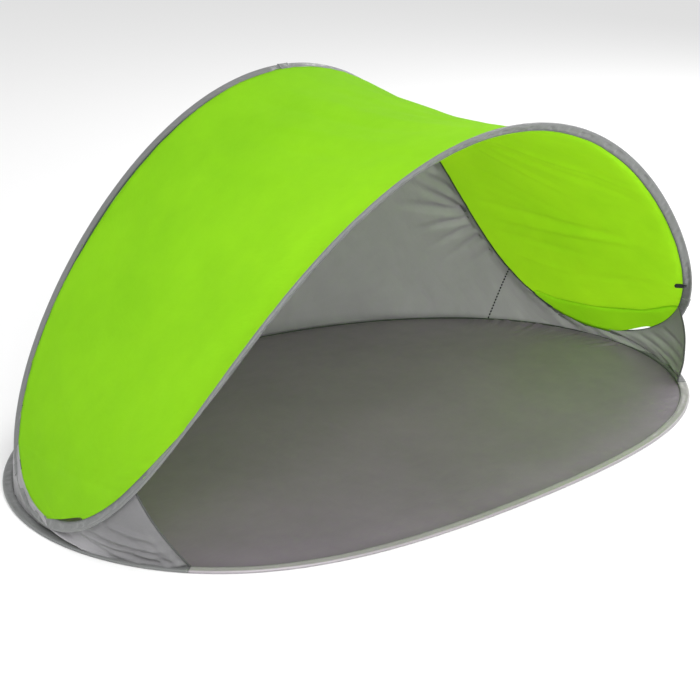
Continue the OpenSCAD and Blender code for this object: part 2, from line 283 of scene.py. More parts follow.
def make_object(
    name: str,
    points: Array,
    faces: Array,
    finishes: Sequence["bpy.types.Material"],
    uv: Optional[Array] = None,
    slots: Optional[Array] = None,
    values: Optional[dict[str, Array]] = None,
) -> bpy.types.Object:
    """Makes one smooth mesh object at the origin.

    Args:
        name: The piece's name.
        points: Corners, one row each.
        faces: Faces as rows of four corner numbers.
        finishes: The materials, in slot order.
        uv: Places on the cloth in metres, one row for each corner.
        slots: The material slot of each face.
        values: Named numbers, one for each corner.

    Returns:
        The object.
    """
    mesh = bpy.data.meshes.new(name)
    mesh.vertices.add(len(points))
    mesh.vertices.foreach_set("co", points.astype(np.float32).ravel())
    mesh.loops.add(faces.size)
    mesh.loops.foreach_set("vertex_index", faces.astype(np.int32).ravel())
    mesh.polygons.add(len(faces))
    mesh.polygons.foreach_set("loop_start", np.arange(0, faces.size, 4, dtype=np.int32))
    if slots is not None:
        mesh.polygons.foreach_set("material_index", slots.astype(np.int32))
    mesh.update(calc_edges=True)
    if uv is not None:
        layer = mesh.uv_layers.new(name="cloth")
        layer.data.foreach_set("uv", uv[faces.ravel()].astype(np.float32).ravel())
    for key, numbers in (values or {}).items():
        attribute = mesh.attributes.new(key, "FLOAT", "POINT")
        attribute.data.foreach_set("value", numbers.astype(np.float32).ravel())
    mesh.shade_smooth()
    for finish in finishes:
        mesh.materials.append(finish)
    obj = bpy.data.objects.new(name, mesh)
    bpy.context.collection.objects.link(obj)
    return obj


def grid_faces(rows: int, columns: int, first: int = 0, wrap: bool = False) -> Array:
    """Faces between the points of a grid that is numbered row by row.

    Args:
        rows: How many rows the grid has.
        columns: How many points are in a row.
        first: The number of the first point.
        wrap: True if each row comes back to its start.

    Returns:
        Four corner numbers a row.
    """
    i = np.arange(rows - 1)[:, None]
    j = np.arange(columns if wrap else columns - 1)[None, :]
    k = (j + 1) % columns
    quads = np.stack(np.broadcast_arrays(
        i * columns + j, i * columns + k, (i + 1) * columns + k, (i + 1) * columns + j), -1)
    return quads.reshape(-1, 4) + first


def join_rows(a: Array, b: Array) -> Array:
    """Faces that join two rows of equally many points, given as point numbers."""
    return np.stack([a[:-1], a[1:], b[1:], b[:-1]], -1)


def shell(top: Array, under: Array) -> tuple[Array, Array]:
    """A closed sheet between two grids of points.

    Args:
        top: The grid of one side.
        under: The grid of the other side.

    Returns:
        The points and the faces.
    """
    rows, columns = top.shape[:2]
    count = rows * columns
    points = np.concatenate([top.reshape(-1, 3), under.reshape(-1, 3)])
    n = np.arange(count).reshape(rows, columns)
    rim = np.concatenate([n[0], n[1:, -1], n[-1, -2::-1], n[-2::-1, 0]])
    faces = np.concatenate([
        grid_faces(rows, columns), grid_faces(rows, columns, count)[:, ::-1],
        join_rows(rim, rim + count)[:, ::-1]])
    return points, outward(points, faces)


def tube(rings: Array, closed: bool) -> tuple[Array, Array]:
    """A skin round rings of points, closed on itself or capped at both ends.

    Args:
        rings: One ring of an even number of points a row, the first on the ring's fold and
            the others in pairs that face each other across it.
        closed: True if the last ring is followed by the first.

    Returns:
        The points and the faces.
    """
    rows, columns = rings.shape[:2]
    points = rings.reshape(-1, 3)
    faces = grid_faces(rows, columns, wrap=True)
    first = np.arange(columns)
    last = first + (rows - 1) * columns
    if closed:
        after = np.roll(first, -1)
        bridge = np.stack([last, np.roll(last, -1), after, first], -1)
        return points, outward(points, np.concatenate([faces, bridge]))
    half = columns // 2
    caps = []
    for ring, turn in ((first, -1), (last, 1)):
        near, far = ring[:half], ring[::-1][:half]
        caps.append(join_rows(near, far)[:, ::turn])
    return points, outward(points, np.concatenate([faces, *caps]))


# ---- finishes ------------------------------------------------------------------------------


def add_node(tree: bpy.types.NodeTree, kind: str, inputs: Optional[dict],
             settings: dict[str, object]) -> bpy.types.Node:
    """Adds a node to a tree.

    Args:
        tree: The tree.
        kind: The node's type.
        inputs: What goes into its sockets, by name or number: a socket or a plain value.
        settings: Its own settings, which are made before its sockets are filled.

    Returns:
        The node.
    """
    node = tree.nodes.new(kind)
    for key, value in settings.items():
        setattr(node, key, value)
    for key, value in (inputs or {}).items():
        if isinstance(value, bpy.types.NodeSocket):
            tree.links.new(value, node.inputs[key])
        else:
            node.inputs[key].default_value = value
    return node


class Nodes:
    """A short way to write a material's nodes."""

    def __init__(self, name: str) -> None:
        """Starts an empty material.

        Args:
            name: The material's name.
        """
        self.material = bpy.data.materials.new(name)
        self.material.use_nodes = True
        self.tree = self.material.node_tree
        self.tree.nodes.clear()

    def add(self, kind: str, inputs: Optional[dict] = None, **settings: object) -> bpy.types.Node:
        """Adds a node; see add_node."""
        return add_node(self.tree, kind, inputs, settings)

    def maths(self, operation: str, a: object, b: object = 0.0) -> bpy.types.NodeSocket:
        """One sum on two numbers or sockets."""
        return self.add("ShaderNodeMath", {0: a, 1: b}, operation=operation).outputs[0]

    def ramp(self, value: bpy.types.NodeSocket, low: float, high: float,
             to_low: float = 0.0, to_high: float = 1.0) -> bpy.types.NodeSocket:
        """A number moved from the range low to high into the range to_low to to_high."""
        return self.add("ShaderNodeMapRange", {
            "Value": value, "From Min": low, "From Max": high,
            "To Min": to_low, "To Max": to_high}).outputs[0]

    def noise(self, place: bpy.types.NodeSocket, scale: float, detail: float = 2.0,
              rough: float = 0.5) -> bpy.types.NodeSocket:
        """Soft random values from 0 to 1 at a place."""
        return self.add("ShaderNodeTexNoise", {
            "Vector": place, "Scale": scale, "Detail": detail, "Roughness": rough}).outputs[0]

    def mix(self, share: object, a: object, b: object) -> bpy.types.NodeSocket:
        """A colour between a and b."""
        return self.add("ShaderNodeMix", {0: share, 6: a, 7: b}, data_type="RGBA").outputs[2]

    def stretch(self, place: bpy.types.NodeSocket, scale: tuple[float, float, float],
                turn: float = 0.0) -> bpy.types.NodeSocket:
        """A place scaled along its axes, after a turn about Z in degrees."""
        return self.add("ShaderNodeMapping", {
            "Vector": place, "Scale": scale,
            "Rotation": (0.0, 0.0, float(np.radians(turn)))}).outputs[0]

    def finish(self, surface: bpy.types.NodeSocket) -> bpy.types.Material:
        """Ends the material with its surface."""
        self.add("ShaderNodeOutputMaterial", {"Surface": surface})
        return self.material


def rgba(colour: Colour) -> tuple[float, float, float, float]:
    """A colour with its fourth number."""
    return (*colour, 1.0)


def shade(colour: Colour, by: float) -> Colour:
    """A colour made lighter or darker by a factor."""
    return tuple(min(1.0, c * by) for c in colour)


@dataclass(frozen=True)
class Cloth:
    """A woven cloth: thin threads, soft mottling, fine creases, and painted shade at seams and
    creases.

    Attributes:
        name: The material's name.
        colour: Its colour.
        glow: The colour of light that comes through it.
        through: The share of light that comes through it.
        rough: Its roughness.
        sheen: How much its nap catches light at its edges.
        shine: How strongly its surface mirrors.
        thread: The pitch of its threads, in metres.
        mottle: How much its colour varies.
        crease: The height of its fine creases, in metres.
        painted_shade_strength: How much painted shade darkens it where painted_shade is set.
        depth: The most that its colour may vary either way, as a share.
    """

    name: str
    colour: Colour
    glow: Colour
    through: float = 0.2
    rough: float = 0.55
    sheen: float = 0.1
    shine: float = 0.3
    thread: float = 0.0011
    mottle: float = 0.07
    crease: float = 0.0012
    painted_shade_strength: float = 0.12
    depth: float = 0.3

    def material(self) -> bpy.types.Material:
        """Builds the cloth's material from its place on the cloth and in space."""
        n = Nodes(self.name)
        cloth = n.add("ShaderNodeUVMap", uv_map="cloth").outputs[0]
        space = n.add("ShaderNodeTexCoord").outputs["Object"]
        yarn = {"Vector": cloth, "Scale": 1.0 / self.thread / WAVE_TURN}
        warp, weft = (n.add("ShaderNodeTexWave", yarn, bands_direction=way).outputs["Fac"]
                      for way in "XY")
        weave = n.maths("MULTIPLY", warp, weft)
        slub = n.noise(n.stretch(cloth, (40.0, 900.0, 1.0)), 1.0, 1.0)
        slub_across = n.noise(n.stretch(cloth, (900.0, 40.0, 1.0)), 1.0, 1.0)
        blotch = n.noise(space, 3.1, 4.0, 0.55)
        fine = n.noise(space, 21.0, 5.0, 0.6)
        tone = n.maths("ADD", n.ramp(blotch, 0.3, 0.7, -self.mottle, self.mottle),
                       n.ramp(fine, 0.3, 0.7, -self.mottle / 3, self.mottle / 3))
        threads = n.maths("ADD", slub, slub_across)
        tone = n.maths("ADD", tone, n.ramp(threads, 0.6, 1.4, -0.025, 0.025))
        tone = n.maths("ADD", tone, n.ramp(weave, 0.0, 1.0, -0.02, 0.02))
        # Painted shade: the colour is darker where the painted_shade attribute marks seams, creases
        # and corners.
        painted_shade = n.add("ShaderNodeAttribute", attribute_name="painted_shade").outputs["Fac"]
        tone = n.maths("SUBTRACT", tone, n.maths("MULTIPLY", painted_shade, self.painted_shade_strength))
        low, high = 1 - self.depth, 1 + self.depth
        share = n.ramp(tone, -self.depth, self.depth)
        colour = n.mix(share, rgba(shade(self.colour, low)), rgba(shade(self.colour, high)))
        glow = n.mix(share, rgba(shade(self.glow, low)), rgba(shade(self.glow, high)))
        creases = n.noise(n.stretch(cloth, (9.0, 26.0, 1.0), 32.0), 1.0, 5.0, 0.62)
        creases_across = n.noise(n.stretch(cloth, (24.0, 8.0, 1.0), 14.0), 1.0, 5.0, 0.62)
        height = n.maths("MULTIPLY", n.maths("ADD", creases, creases_across), self.crease)
        height = n.maths("ADD", height, n.maths("MULTIPLY", weave, 0.00006))
        bump = n.add("ShaderNodeBump", {"Strength": 1.0, "Distance": 1.0, "Height": height})
        rough = n.ramp(n.noise(space, 13.0, 3.0), 0.3, 0.7, self.rough - 0.05, self.rough + 0.05)
        face = n.add("ShaderNodeBsdfPrincipled", {
            "Base Color": colour, "Roughness": rough, "Normal": bump.outputs[0],
            "Specular IOR Level": self.shine, "Sheen Weight": self.sheen,
            "Sheen Roughness": 0.4}).outputs[0]
        if self.through <= 0:
            return n.finish(face)
        behind = n.add("ShaderNodeBsdfTranslucent", {
            "Color": glow, "Normal": bump.outputs[0]}).outputs[0]
        both = n.add("ShaderNodeMixShader", {0: self.through, 1: face, 2: behind})
        return n.finish(both.outputs[0])


@dataclass(frozen=True)
class Webbing:
    """A ribbed woven band or a thread.

    Attributes:
        name: The material's name.
        colour: Its colour.
        rib: The pitch of its ribs, in metres.
        rough: Its roughness.
    """

    name: str
    colour: Colour
    rib: float = 0.0016
    rough: float = 0.75

    def material(self) -> bpy.types.Material:
        """Builds the band's material."""
        n = Nodes(self.name)
        space = n.add("ShaderNodeTexCoord").outputs["Object"]
        ribs = n.add("ShaderNodeTexWave", {
            "Vector": space, "Scale": 1.0 / self.rib / WAVE_TURN, "Distortion": 0.6},
            bands_direction="DIAGONAL").outputs["Fac"]
        fuzz = n.noise(space, 420.0, 3.0)
        wear = n.noise(space, 35.0, 3.0)
        share = n.ramp(n.maths("ADD", n.maths("MULTIPLY", ribs, 0.5), fuzz), 0.3, 1.1)
        worn = n.mix(n.ramp(wear, 0.45, 0.75, 0.0, 0.35), rgba(shade(self.colour, 1.15)),
                     rgba(shade(self.colour, 1.8)))
        colour = n.mix(share, rgba(shade(self.colour, 0.65)), worn)
        height = n.maths("ADD", n.maths("MULTIPLY", ribs, 0.0002),
                         n.maths("MULTIPLY", fuzz, 0.0001))
        bump = n.add("ShaderNodeBump", {"Strength": 0.8, "Distance": 1.0, "Height": height})
        rough = n.ramp(fuzz, 0.3, 0.7, self.rough - 0.08, self.rough + 0.08)
        return n.finish(n.add("ShaderNodeBsdfPrincipled", {
            "Base Color": colour, "Roughness": rough, "Normal": bump.outputs[0],
            "Specular IOR Level": 0.25, "Sheen Weight": 0.15}).outputs[0])


@dataclass(frozen=True)
class Metal:
    """A drawn or pressed metal, with fine scratches.

    Attributes:
        name: The material's name.
        colour: Its colour.
        rough: Its roughness.
        grain: How finely its drawing marks run along each axis.
    """

    name: str
    colour: Colour
    rough: float = 0.3
    grain: tuple[float, float, float] = (60.0, 60.0, 900.0)

    def material(self) -> bpy.types.Material:
        """Builds the metal's material."""
        n = Nodes(self.name)
        space = n.add("ShaderNodeTexCoord").outputs["Object"]
        marks = n.noise(n.stretch(space, self.grain), 1.0, 3.0)
        tarnish = n.noise(space, 28.0, 4.0)
        colour = n.mix(n.ramp(tarnish, 0.35, 0.7), rgba(self.colour), rgba(shade(self.colour, 0.8)))
        rough = n.ramp(n.maths("ADD", marks, tarnish), 0.6, 1.4, self.rough, self.rough + 0.2)
        bump = n.add("ShaderNodeBump", {
            "Strength": 0.3, "Distance": 1.0, "Height": n.maths("MULTIPLY", marks, 0.00008)})
        return n.finish(n.add("ShaderNodeBsdfPrincipled", {
            "Base Color": colour, "Roughness": rough, "Metallic": 1.0,
            "Normal": bump.outputs[0]}).outputs[0])


@dataclass(frozen=True)
class Backdrop:
    """The plain pale floor that the tent stands on."""

    colour: Colour = (0.93, 0.93, 0.93)

    def material(self) -> bpy.types.Material:
        """Builds the floor's material."""
        n = Nodes("backdrop")
        return n.finish(n.add("ShaderNodeBsdfDiffuse", {
            "Color": rgba(self.colour)}).outputs[0])


class Finishes:
    """Every finish of the tent, built once."""

    def __init__(self) -> None:
        """Builds the materials."""
        self.lime = Cloth(
            "lime_taffeta", (0.38, 0.97, 0.020), (0.63, 1.0, 0.110), through=0.62,
            rough=0.62, sheen=0.0, shine=0.16, mottle=0.05, painted_shade_strength=0.16).material()
        self.wall = Cloth(
            "grey_taffeta", (0.42, 0.415, 0.43), (0.55, 0.52, 0.55), through=0.34,
            rough=0.42, sheen=0.1, shine=0.45, mottle=0.06, painted_shade_strength=0.45,
            depth=0.5).material()
        self.floor = Cloth(
            "floor_cloth", (0.154, 0.122, 0.165), (0.1, 0.1, 0.1), through=0.0,
            rough=0.46, sheen=0.1, shine=0.4, thread=0.0016, mottle=0.08,
            crease=0.0009).material()
        self.sleeve = Cloth(
            "sleeve_satin", (0.135, 0.140, 0.138), (0.2, 0.2, 0.2), through=0.0,
            rough=0.34, sheen=0.2, shine=0.6, thread=0.0008, crease=0.0016,
            painted_shade_strength=0.3).material()
        # The front of the floor sleeve: the back sleeve's satin painted lighter, a painted
        # highlight where light falls on it.
        self.lit_sleeve = Cloth(
            "sleeve_satin_lit", (0.29, 0.265, 0.29), (0.2, 0.2, 0.2), through=0.0,
            rough=0.36, sheen=0.2, shine=0.6, thread=0.0008, crease=0.0012,
            painted_shade_strength=0.3).material()
        self.binding = Webbing("dark_binding", (0.030, 0.045, 0.030), 0.0012).material()
        self.piping = Webbing("grey_piping", (0.055, 0.058, 0.056), 0.0012).material()
        self.tape = Webbing("grey_tape", (0.12, 0.122, 0.12), 0.0014).material()
        self.webbing = Webbing("black_webbing", (0.008, 0.008, 0.009), 0.0020).material()
        self.wire = Metal("spring_wire", (0.60, 0.60, 0.62)).material()
        self.ferrule = Metal("crimped_steel", (0.48, 0.48, 0.50), 0.38).material()
        self.eyelet = Metal("plated_eyelet", (0.72, 0.72, 0.74), 0.22).material()
        self.threads = {
            Thread.GREY: Webbing(Thread.GREY.value, (0.16, 0.165, 0.16), 0.0006).material(),
            Thread.DARK: Webbing(Thread.DARK.value, (0.03, 0.035, 0.03), 0.0006).material(),
            Thread.BLACK: Webbing(Thread.BLACK.value, (0.008, 0.008, 0.01), 0.0006).material(),
        }


# ---- wrinkles ------------------------------------------------------------------------------


@dataclass(frozen=True)
class Ripple:
    """Soft random unevenness of a cloth.

    Attributes:
        cell: The size of its bumps along and across the cloth, in metres.
        height: Their height, in metres.
        seed: The seed of their places.
        slant: How far the bumps lean along the cloth for each metre across it.
    """

    cell: Place
    height: float
    seed: int
    slant: float = 0.0

    def at(self, u: Array, v: Array) -> Array:
        """The height of the ripple at places on the cloth.

        Args:
            u: Distances along the cloth.
            v: Distances across it.

        Returns:
            One height for each place.
        """
        size = 97
        knots = np.random.default_rng(self.seed).uniform(-1, 1, (size, size))
        x = (u + self.slant * v) / self.cell[0] + 31.0
        y = v / self.cell[1] + 17.0
        i, j = np.floor(x).astype(int), np.floor(y).astype(int)
        fx, fy = ease(x - i), ease(y - j)
        i0, i1, j0, j1 = i % size, (i + 1) % size, j % size, (j + 1) % size
        low = knots[i0, j0] * (1 - fx) + knots[i1, j0] * fx
        high = knots[i0, j1] * (1 - fx) + knots[i1, j1] * fx
        return self.height * (low * (1 - fy) + high * fy)


@dataclass(frozen=True)
class Fold:
    """A soft ridge in a cloth from one place on it to another.

    Attributes:
        start: Where it starts, in the sheet's own two numbers.
        end: Where it ends.
        width: Half its width, in metres.
        height: Its height, in metres; below 0 it is a valley.
        fade: Where its height runs out.
        bow: How far its middle stands to one side, as a share of its length.
    """

    start: Place
    end: Place
    width: float
    height: float
    fade: Fade = Fade.BOTH_ENDS
    bow: float = 0.0

    def lift(self, place: Callable[[Array, Array], Array], points: Array, normals: Array) -> Array:
        """The height of the fold at each point of a sheet.

        Args:
            place: The sheet's surface, from its two numbers to a point.
            points: The sheet's points.
            normals: The directions out of its outer side there.

        Returns:
            One height for each point.
        """
        a, b = (place(np.array(p[0]), np.array(p[1])) for p in (self.start, self.end))
        run = b - a
        length = float(np.linalg.norm(run))
        d = run / length
        rel = points - a
        t = (rel @ d) / length
        side = dot(rel, unit(np.cross(normals, d)))[..., 0]
        away = dot(rel, normals)[..., 0]
        inside = np.clip(t, 0, 1)
        x = (side - self.bow * length * 4 * inside * (1 - inside)) / self.width
        taper = {
            Fade.BOTH_ENDS: np.sin(np.pi * inside) ** 0.8,
            Fade.FAR_END: ease(inside / 0.06) * (1 - inside) ** 1.1,
            Fade.NEVER: ease((t + 0.05) / 0.1) * ease((1.05 - t) / 0.1),
        }[self.fade]
        ridge = np.exp(-x * x) - 0.3 * np.exp(-(x / 2.3) ** 2)
        return self.height * taper * ridge * np.exp(-(away / 0.22) ** 2)


@dataclass(frozen=True)
class PlacedFold:
    """A fold whose ends are given on another surface than its sheet's own grid.

    Attributes:
        fold: The fold.
        surface: The surface that its ends are given on, from two numbers to a point.
    """

    fold: Fold
    surface: Callable[[Array, Array], Array]

    def lift(self, place: Callable, points: Array, normals: Array) -> Array:
        """The fold's height at each point; see Fold.lift."""
        return self.fold.lift(self.surface, points, normals)


def gathers(
    seed: int,
    count: int,
    seam: Callable[[float], Place],
    inner: Callable[[float, float], Place],
    width: Place,
    height: Place,
) -> list[Fold]:
    """Short folds that run from a seam into the cloth.

    Args:
        seed: The seed of their places and sizes.
        count: How many there are.
        seam: Where a fold starts, from its share along the seam.
        inner: Where it ends, from that share and a random number from 0 to 1.
        width: The least and the most half width, in metres.
        height: The least and the most height, in metres.

    Returns:
        The folds.
    """
    rng = np.random.default_rng(seed)
    folds = []
    for i in range(count):
        share = (i + rng.uniform(0.1, 0.9)) / count
        folds.append(Fold(
            seam(share), inner(share, rng.uniform()), rng.uniform(*width),
            rng.uniform(*height), Fade.FAR_END, rng.uniform(-0.05, 0.05)))
    return folds


# ---- sheets --------------------------------------------------------------------------------


def crowded(count: int, share: float) -> Array:
    """Numbers from 0 to 1, closer together near both ends.

    Args:
        count: How many there are.
        share: How crowded the ends are: 0 for even steps, 1 for the most.

    Returns:
        The numbers.
    """
    even = np.linspace(0, 1, count)
    return (1 - np.cos(np.pi * even)) / 2 * share + even * (1 - share)


@dataclass
class Sheet:
    """A panel of cloth with its ripples and folds.

    Attributes:
        name: The piece's name.
        place: The surface of the smooth panel, from its two numbers to a point.
        rows: The first of the two numbers along the grid, one for each row.
        columns: The second, one for each column.
        thickness: How thick the cloth is, in metres.
        outer: 1 or -1, the side of the grid that is the outside.
        ripples: Its random unevenness.
        folds: Its own folds.
        hold: How much of the wrinkles shows at each of its two numbers, 0 to 1.
        bulge: A smooth swelling outwards, in metres.
        painted_shade: How much painted shade darkens its colour at its two numbers, 0 to 1.
        flat_uv: True if the cloth's threads run along X and Y.
        least: How far its wrinkles may reach inwards, in metres, below 0.
        lowest: The lowest that its middle surface may lie, in metres.
    """

    name: str
    place: Callable[[Array, Array], Array]
    rows: Array
    columns: Array
    thickness: float
    outer: float
    ripples: Sequence[Ripple] = ()
    folds: Sequence[Fold | PlacedFold] = ()
    hold: Optional[Callable[[Array, Array], Array]] = None
    bulge: Optional[Callable[[Array, Array], Array]] = None
    painted_shade: Optional[Callable[[Array, Array], Array]] = None
    flat_uv: bool = False
    least: float = -1.0
    lowest: float = -1.0
    middle: Array = field(init=False)
    normals: Array = field(init=False)

    def shape(self) -> None:
        """Works out the wrinkled middle surface and its directions."""
        s, k = np.meshgrid(self.rows, self.columns, indexing="ij")
        base = self.place(s, k)
        normals = self.directions(base)
        if self.bulge is not None:
            base = base + normals * self.bulge(s, k)[..., None]
            normals = self.directions(base)
        u, v = (base[..., 0], base[..., 1]) if self.flat_uv else (
            lengths(base, 0), lengths(base, 1))
        lift = sum((r.at(u, v) for r in self.ripples), np.zeros_like(s))
        lift = lift + sum((f.lift(self.place, base, normals) for f in self.folds), 0.0)
        if self.hold is not None:
            lift = lift * self.hold(s, k)
        self.middle = base + normals * np.maximum(lift, self.least)[..., None]
        self.middle[..., 2] = np.maximum(self.middle[..., 2], self.lowest)
        self.normals = self.directions(self.middle)
        self._uv = np.stack([u, v], -1).reshape(-1, 2)
        self._painted_shade = np.zeros(s.size) if self.painted_shade is None else (
            self.painted_shade(s, k).ravel())

    def directions(self, points: Array) -> Array:
        """The directions out of the outer side of a grid of points."""
        along, across = np.gradient(points, axis=0), np.gradient(points, axis=1)
        return unit(np.cross(along, across)) * self.outer

    def at(self, s: Array, k: Array, out: float) -> Array:
        """Places on the wrinkled sheet.

        Args:
            s: The first of its two numbers, one for each place.
            k: The second.
            out: How far the places stand off the middle of the cloth, outwards, in metres.

        Returns:
            One place a row.
        """
        i = np.interp(s, self.rows, np.arange(len(self.rows)))
        j = np.interp(k, self.columns, np.arange(len(self.columns)))
        i0 = np.clip(i.astype(int), 0, len(self.rows) - 2)
        j0 = np.clip(j.astype(int), 0, len(self.columns) - 2)
        fi, fj = (i - i0)[:, None], (j - j0)[:, None]
        grid = self.middle + self.normals * out
        near = grid[i0, j0] * (1 - fj) + grid[i0, j0 + 1] * fj
        far = grid[i0 + 1, j0] * (1 - fj) + grid[i0 + 1, j0 + 1] * fj
        return near * (1 - fi) + far * fi

    def build(self, finish: bpy.types.Material, material_slot: str) -> bpy.types.Object:
        """Makes the sheet's closed mesh.

        Args:
            finish: Its material.
            material_slot: Not used.

        Returns:
            The object.
        """
        self.shape()
        half = self.normals * self.thickness / 2
        points, faces = shell(self.middle + half, self.middle - half)
        obj = make_object(
            self.name, points, faces, [finish], uv=np.tile(self._uv, (2, 1)),
            values={"painted_shade": np.tile(self._painted_shade, 2)})
        return obj


# ---- stitches and piping -------------------------------------------------------------------


class PathTree:
    """Geometry Nodes that lay something along lines: stitches, or a round bar."""

    def __init__(self, name: str, numbers: dict[str, float], laid: Callable) -> None:
        """Builds the node tree.

        Args:
            name: The tree's name.
            numbers: Its named sizes and seeds, with the values they start from.
            laid: Adds the nodes between the lines and the mesh: it is given this tree, the
                lines' socket and the input node, and returns the mesh's socket.
        """
        self.tree = bpy.data.node_groups.new(name, "GeometryNodeTree")
        face = self.tree.interface
        face.new_socket("Geometry", in_out="INPUT", socket_type="NodeSocketGeometry")
        self.keys: dict[str, str] = {}
        for key, value in numbers.items():
            whole = isinstance(value, int)
            kind = "NodeSocketInt" if whole else "NodeSocketFloat"
            socket = face.new_socket(key, in_out="INPUT", socket_type=kind)
            socket.default_value = value
            self.keys[key] = socket.identifier
        socket = face.new_socket("Finish", in_out="INPUT", socket_type="NodeSocketMaterial")
        self.keys["Finish"] = socket.identifier
        face.new_socket("Geometry", in_out="OUTPUT", socket_type="NodeSocketGeometry")
        given = self.tree.nodes.new("NodeGroupInput")
        result = self.tree.nodes.new("NodeGroupOutput")
        lines = self.node("GeometryNodeMeshToCurve", {0: given.outputs["Geometry"]})
        mesh = laid(self, lines.outputs[0], given)
        real = self.node("GeometryNodeRealizeInstances", {0: mesh})
        smooth = self.node("GeometryNodeSetShadeSmooth", {0: real.outputs[0]})
        dressed = self.node("GeometryNodeSetMaterial", {
            0: smooth.outputs[0], "Material": given.outputs["Finish"]})
        self.tree.links.new(dressed.outputs[0], result.inputs[0])

    def node(self, kind: str, inputs: Optional[dict] = None, **settings: object) -> bpy.types.Node:
        """Adds a node; see add_node."""
        return add_node(self.tree, kind, inputs, settings)

    def lay(self, name: str, lines: Iterable[tuple[Array, bool]], finish: bpy.types.Material,
            **numbers: float) -> bpy.types.Object:
        """Runs the tree along lines and keeps the result as a plain mesh.

        Args:
            name: The piece's name.
            lines: Rows of points, each with True if it comes back to its start.
            finish: The material.
            numbers: Sizes that differ from the tree's own, with _ for a space.

        Returns:
            The object.
        """
        points, edges, first = [], [], 0
        for line, loop in lines:
            n = np.arange(len(line)) + first
            pairs = np.stack([n, np.roll(n, -1)], -1)
            edges += (pairs if loop else pairs[:-1]).tolist()
            points += line.tolist()
            first += len(line)
        mesh = bpy.data.meshes.new(name)
        mesh.from_pydata(points, edges, [])
        obj = bpy.data.objects.new(name, mesh)
        bpy.context.collection.objects.link(obj)
        modifier = obj.modifiers.new("path", "NODES")
        modifier.node_group = self.tree
        modifier[self.keys["Finish"]] = finish
        for key, value in numbers.items():
            modifier[self.keys[key.replace("_", " ")]] = value
        view = bpy.context.evaluated_depsgraph_get()
        result = bpy.data.meshes.new_from_object(obj.evaluated_get(view))
        obj.modifiers.remove(modifier)
        obj.data = result
        bpy.data.meshes.remove(mesh)
        result.name = name
        return obj


def stitches_along(tree: PathTree, lines: bpy.types.NodeSocket,
                   given: bpy.types.Node) -> bpy.types.NodeSocket:
    """Lays a stitch at every pitch along the lines."""
    dots = tree.node("GeometryNodeResampleCurve", {
        "Curve": lines, "Length": given.outputs["Pitch"]}, mode="LENGTH")
    grain = tree.node("GeometryNodeMeshIcoSphere", {"Radius": 1.0, "Subdivisions": 1})
    heading = tree.node("FunctionNodeAlignRotationToVector", {
        "Vector": tree.node("GeometryNodeInputTangent").outputs[0]}, axis="Z")
    vary = tree.node("FunctionNodeRandomValue", {
        "Min": 0.86, "Max": 1.08, "Seed": given.outputs["Seed"]}, data_type="FLOAT")
    reach = tree.node("ShaderNodeMath", {
        0: given.outputs["Half length"], 1: vary.outputs["Value"]}, operation="MULTIPLY")
    size = tree.node("ShaderNodeCombineXYZ", {
        0: given.outputs["Radius"], 1: given.outputs["Radius"], 2: reach.outputs[0]})
    laid = tree.node("GeometryNodeInstanceOnPoints", {
        "Points": dots.outputs[0], "Instance": grain.outputs["Mesh"],
        "Rotation": heading.outputs[0], "Scale": size.outputs[0]})
    return laid.outputs[0]


def bar_along(tree: PathTree, lines: bpy.types.NodeSocket,
              given: bpy.types.Node) -> bpy.types.NodeSocket:
    """Sweeps a round bar along the lines."""
    ring = tree.node("GeometryNodeCurvePrimitiveCircle", {
        "Resolution": given.outputs["Sides"], "Radius": given.outputs["Radius"]})
    swept = tree.node("GeometryNodeCurveToMesh", {
        "Curve": lines, "Profile Curve": ring.outputs[0], "Fill Caps": True})
    return swept.outputs[0]


class Workshop:
    """The finishes and the two path trees, shared by every part of the tent."""

    def __init__(self) -> None:
        """Builds the finishes and the trees."""
        self.finishes = Finishes()
        self.sewing = PathTree("stitches", {
            "Pitch": 0.0042, "Half length": 0.0017, "Radius": 0.00055, "Seed": 7},
            stitches_along)
        self.bars = PathTree("bars", {"Radius": 0.0016, "Sides": 10}, bar_along)

    def sew(self, name: str, lines: Iterable[tuple[Array, bool]], thread: Thread,
            slot: str = "seam_tape", **numbers: float) -> bpy.types.Object:
        """Lays rows of stitches; see PathTree.lay."""
        obj = self.sewing.lay(name, lines, self.finishes.threads[thread], **numbers)
        return obj


def bend(obj: bpy.types.Object) -> bpy.types.Object:
    """Bakes a finished piece's placement into its mesh."""
    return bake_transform(obj)


# ---- sleeves -------------------------------------------------------------------------------

# Half of a sleeve's outline in millimetres: inwards, height, and how freely it puckers.
SLEEVE_HALF = (
    (-4.3, 0.0, 0.0), (-3.7, 2.2, 0.05), (-1.8, 3.8, 0.1), (0.8, 4.1, 0.2), (3.2, 3.4, 0.6),
    (7.0, 2.6, 1.0), (11.5, 2.3, 1.0), (15.0, 2.3, 0.9), (18.2, 2.0, 0.5), (20.6, 1.6, 0.15),
    (21.8, 2.0, 0.0), (23.5, 1.8, 0.0), (24.1, 0.6, 0.0), (24.3, 0.0, 0.0),
)
# The point of that outline where the bound edge begins.
SLEEVE_EDGE = 10
# Where a sleeve is sewn shut, in metres inwards from its wire.
SEWN_AT = 0.0196
# How far apart the two sides of a sleeve lie in its ripples, so that each has its own.
SIDES_APART = 0.1


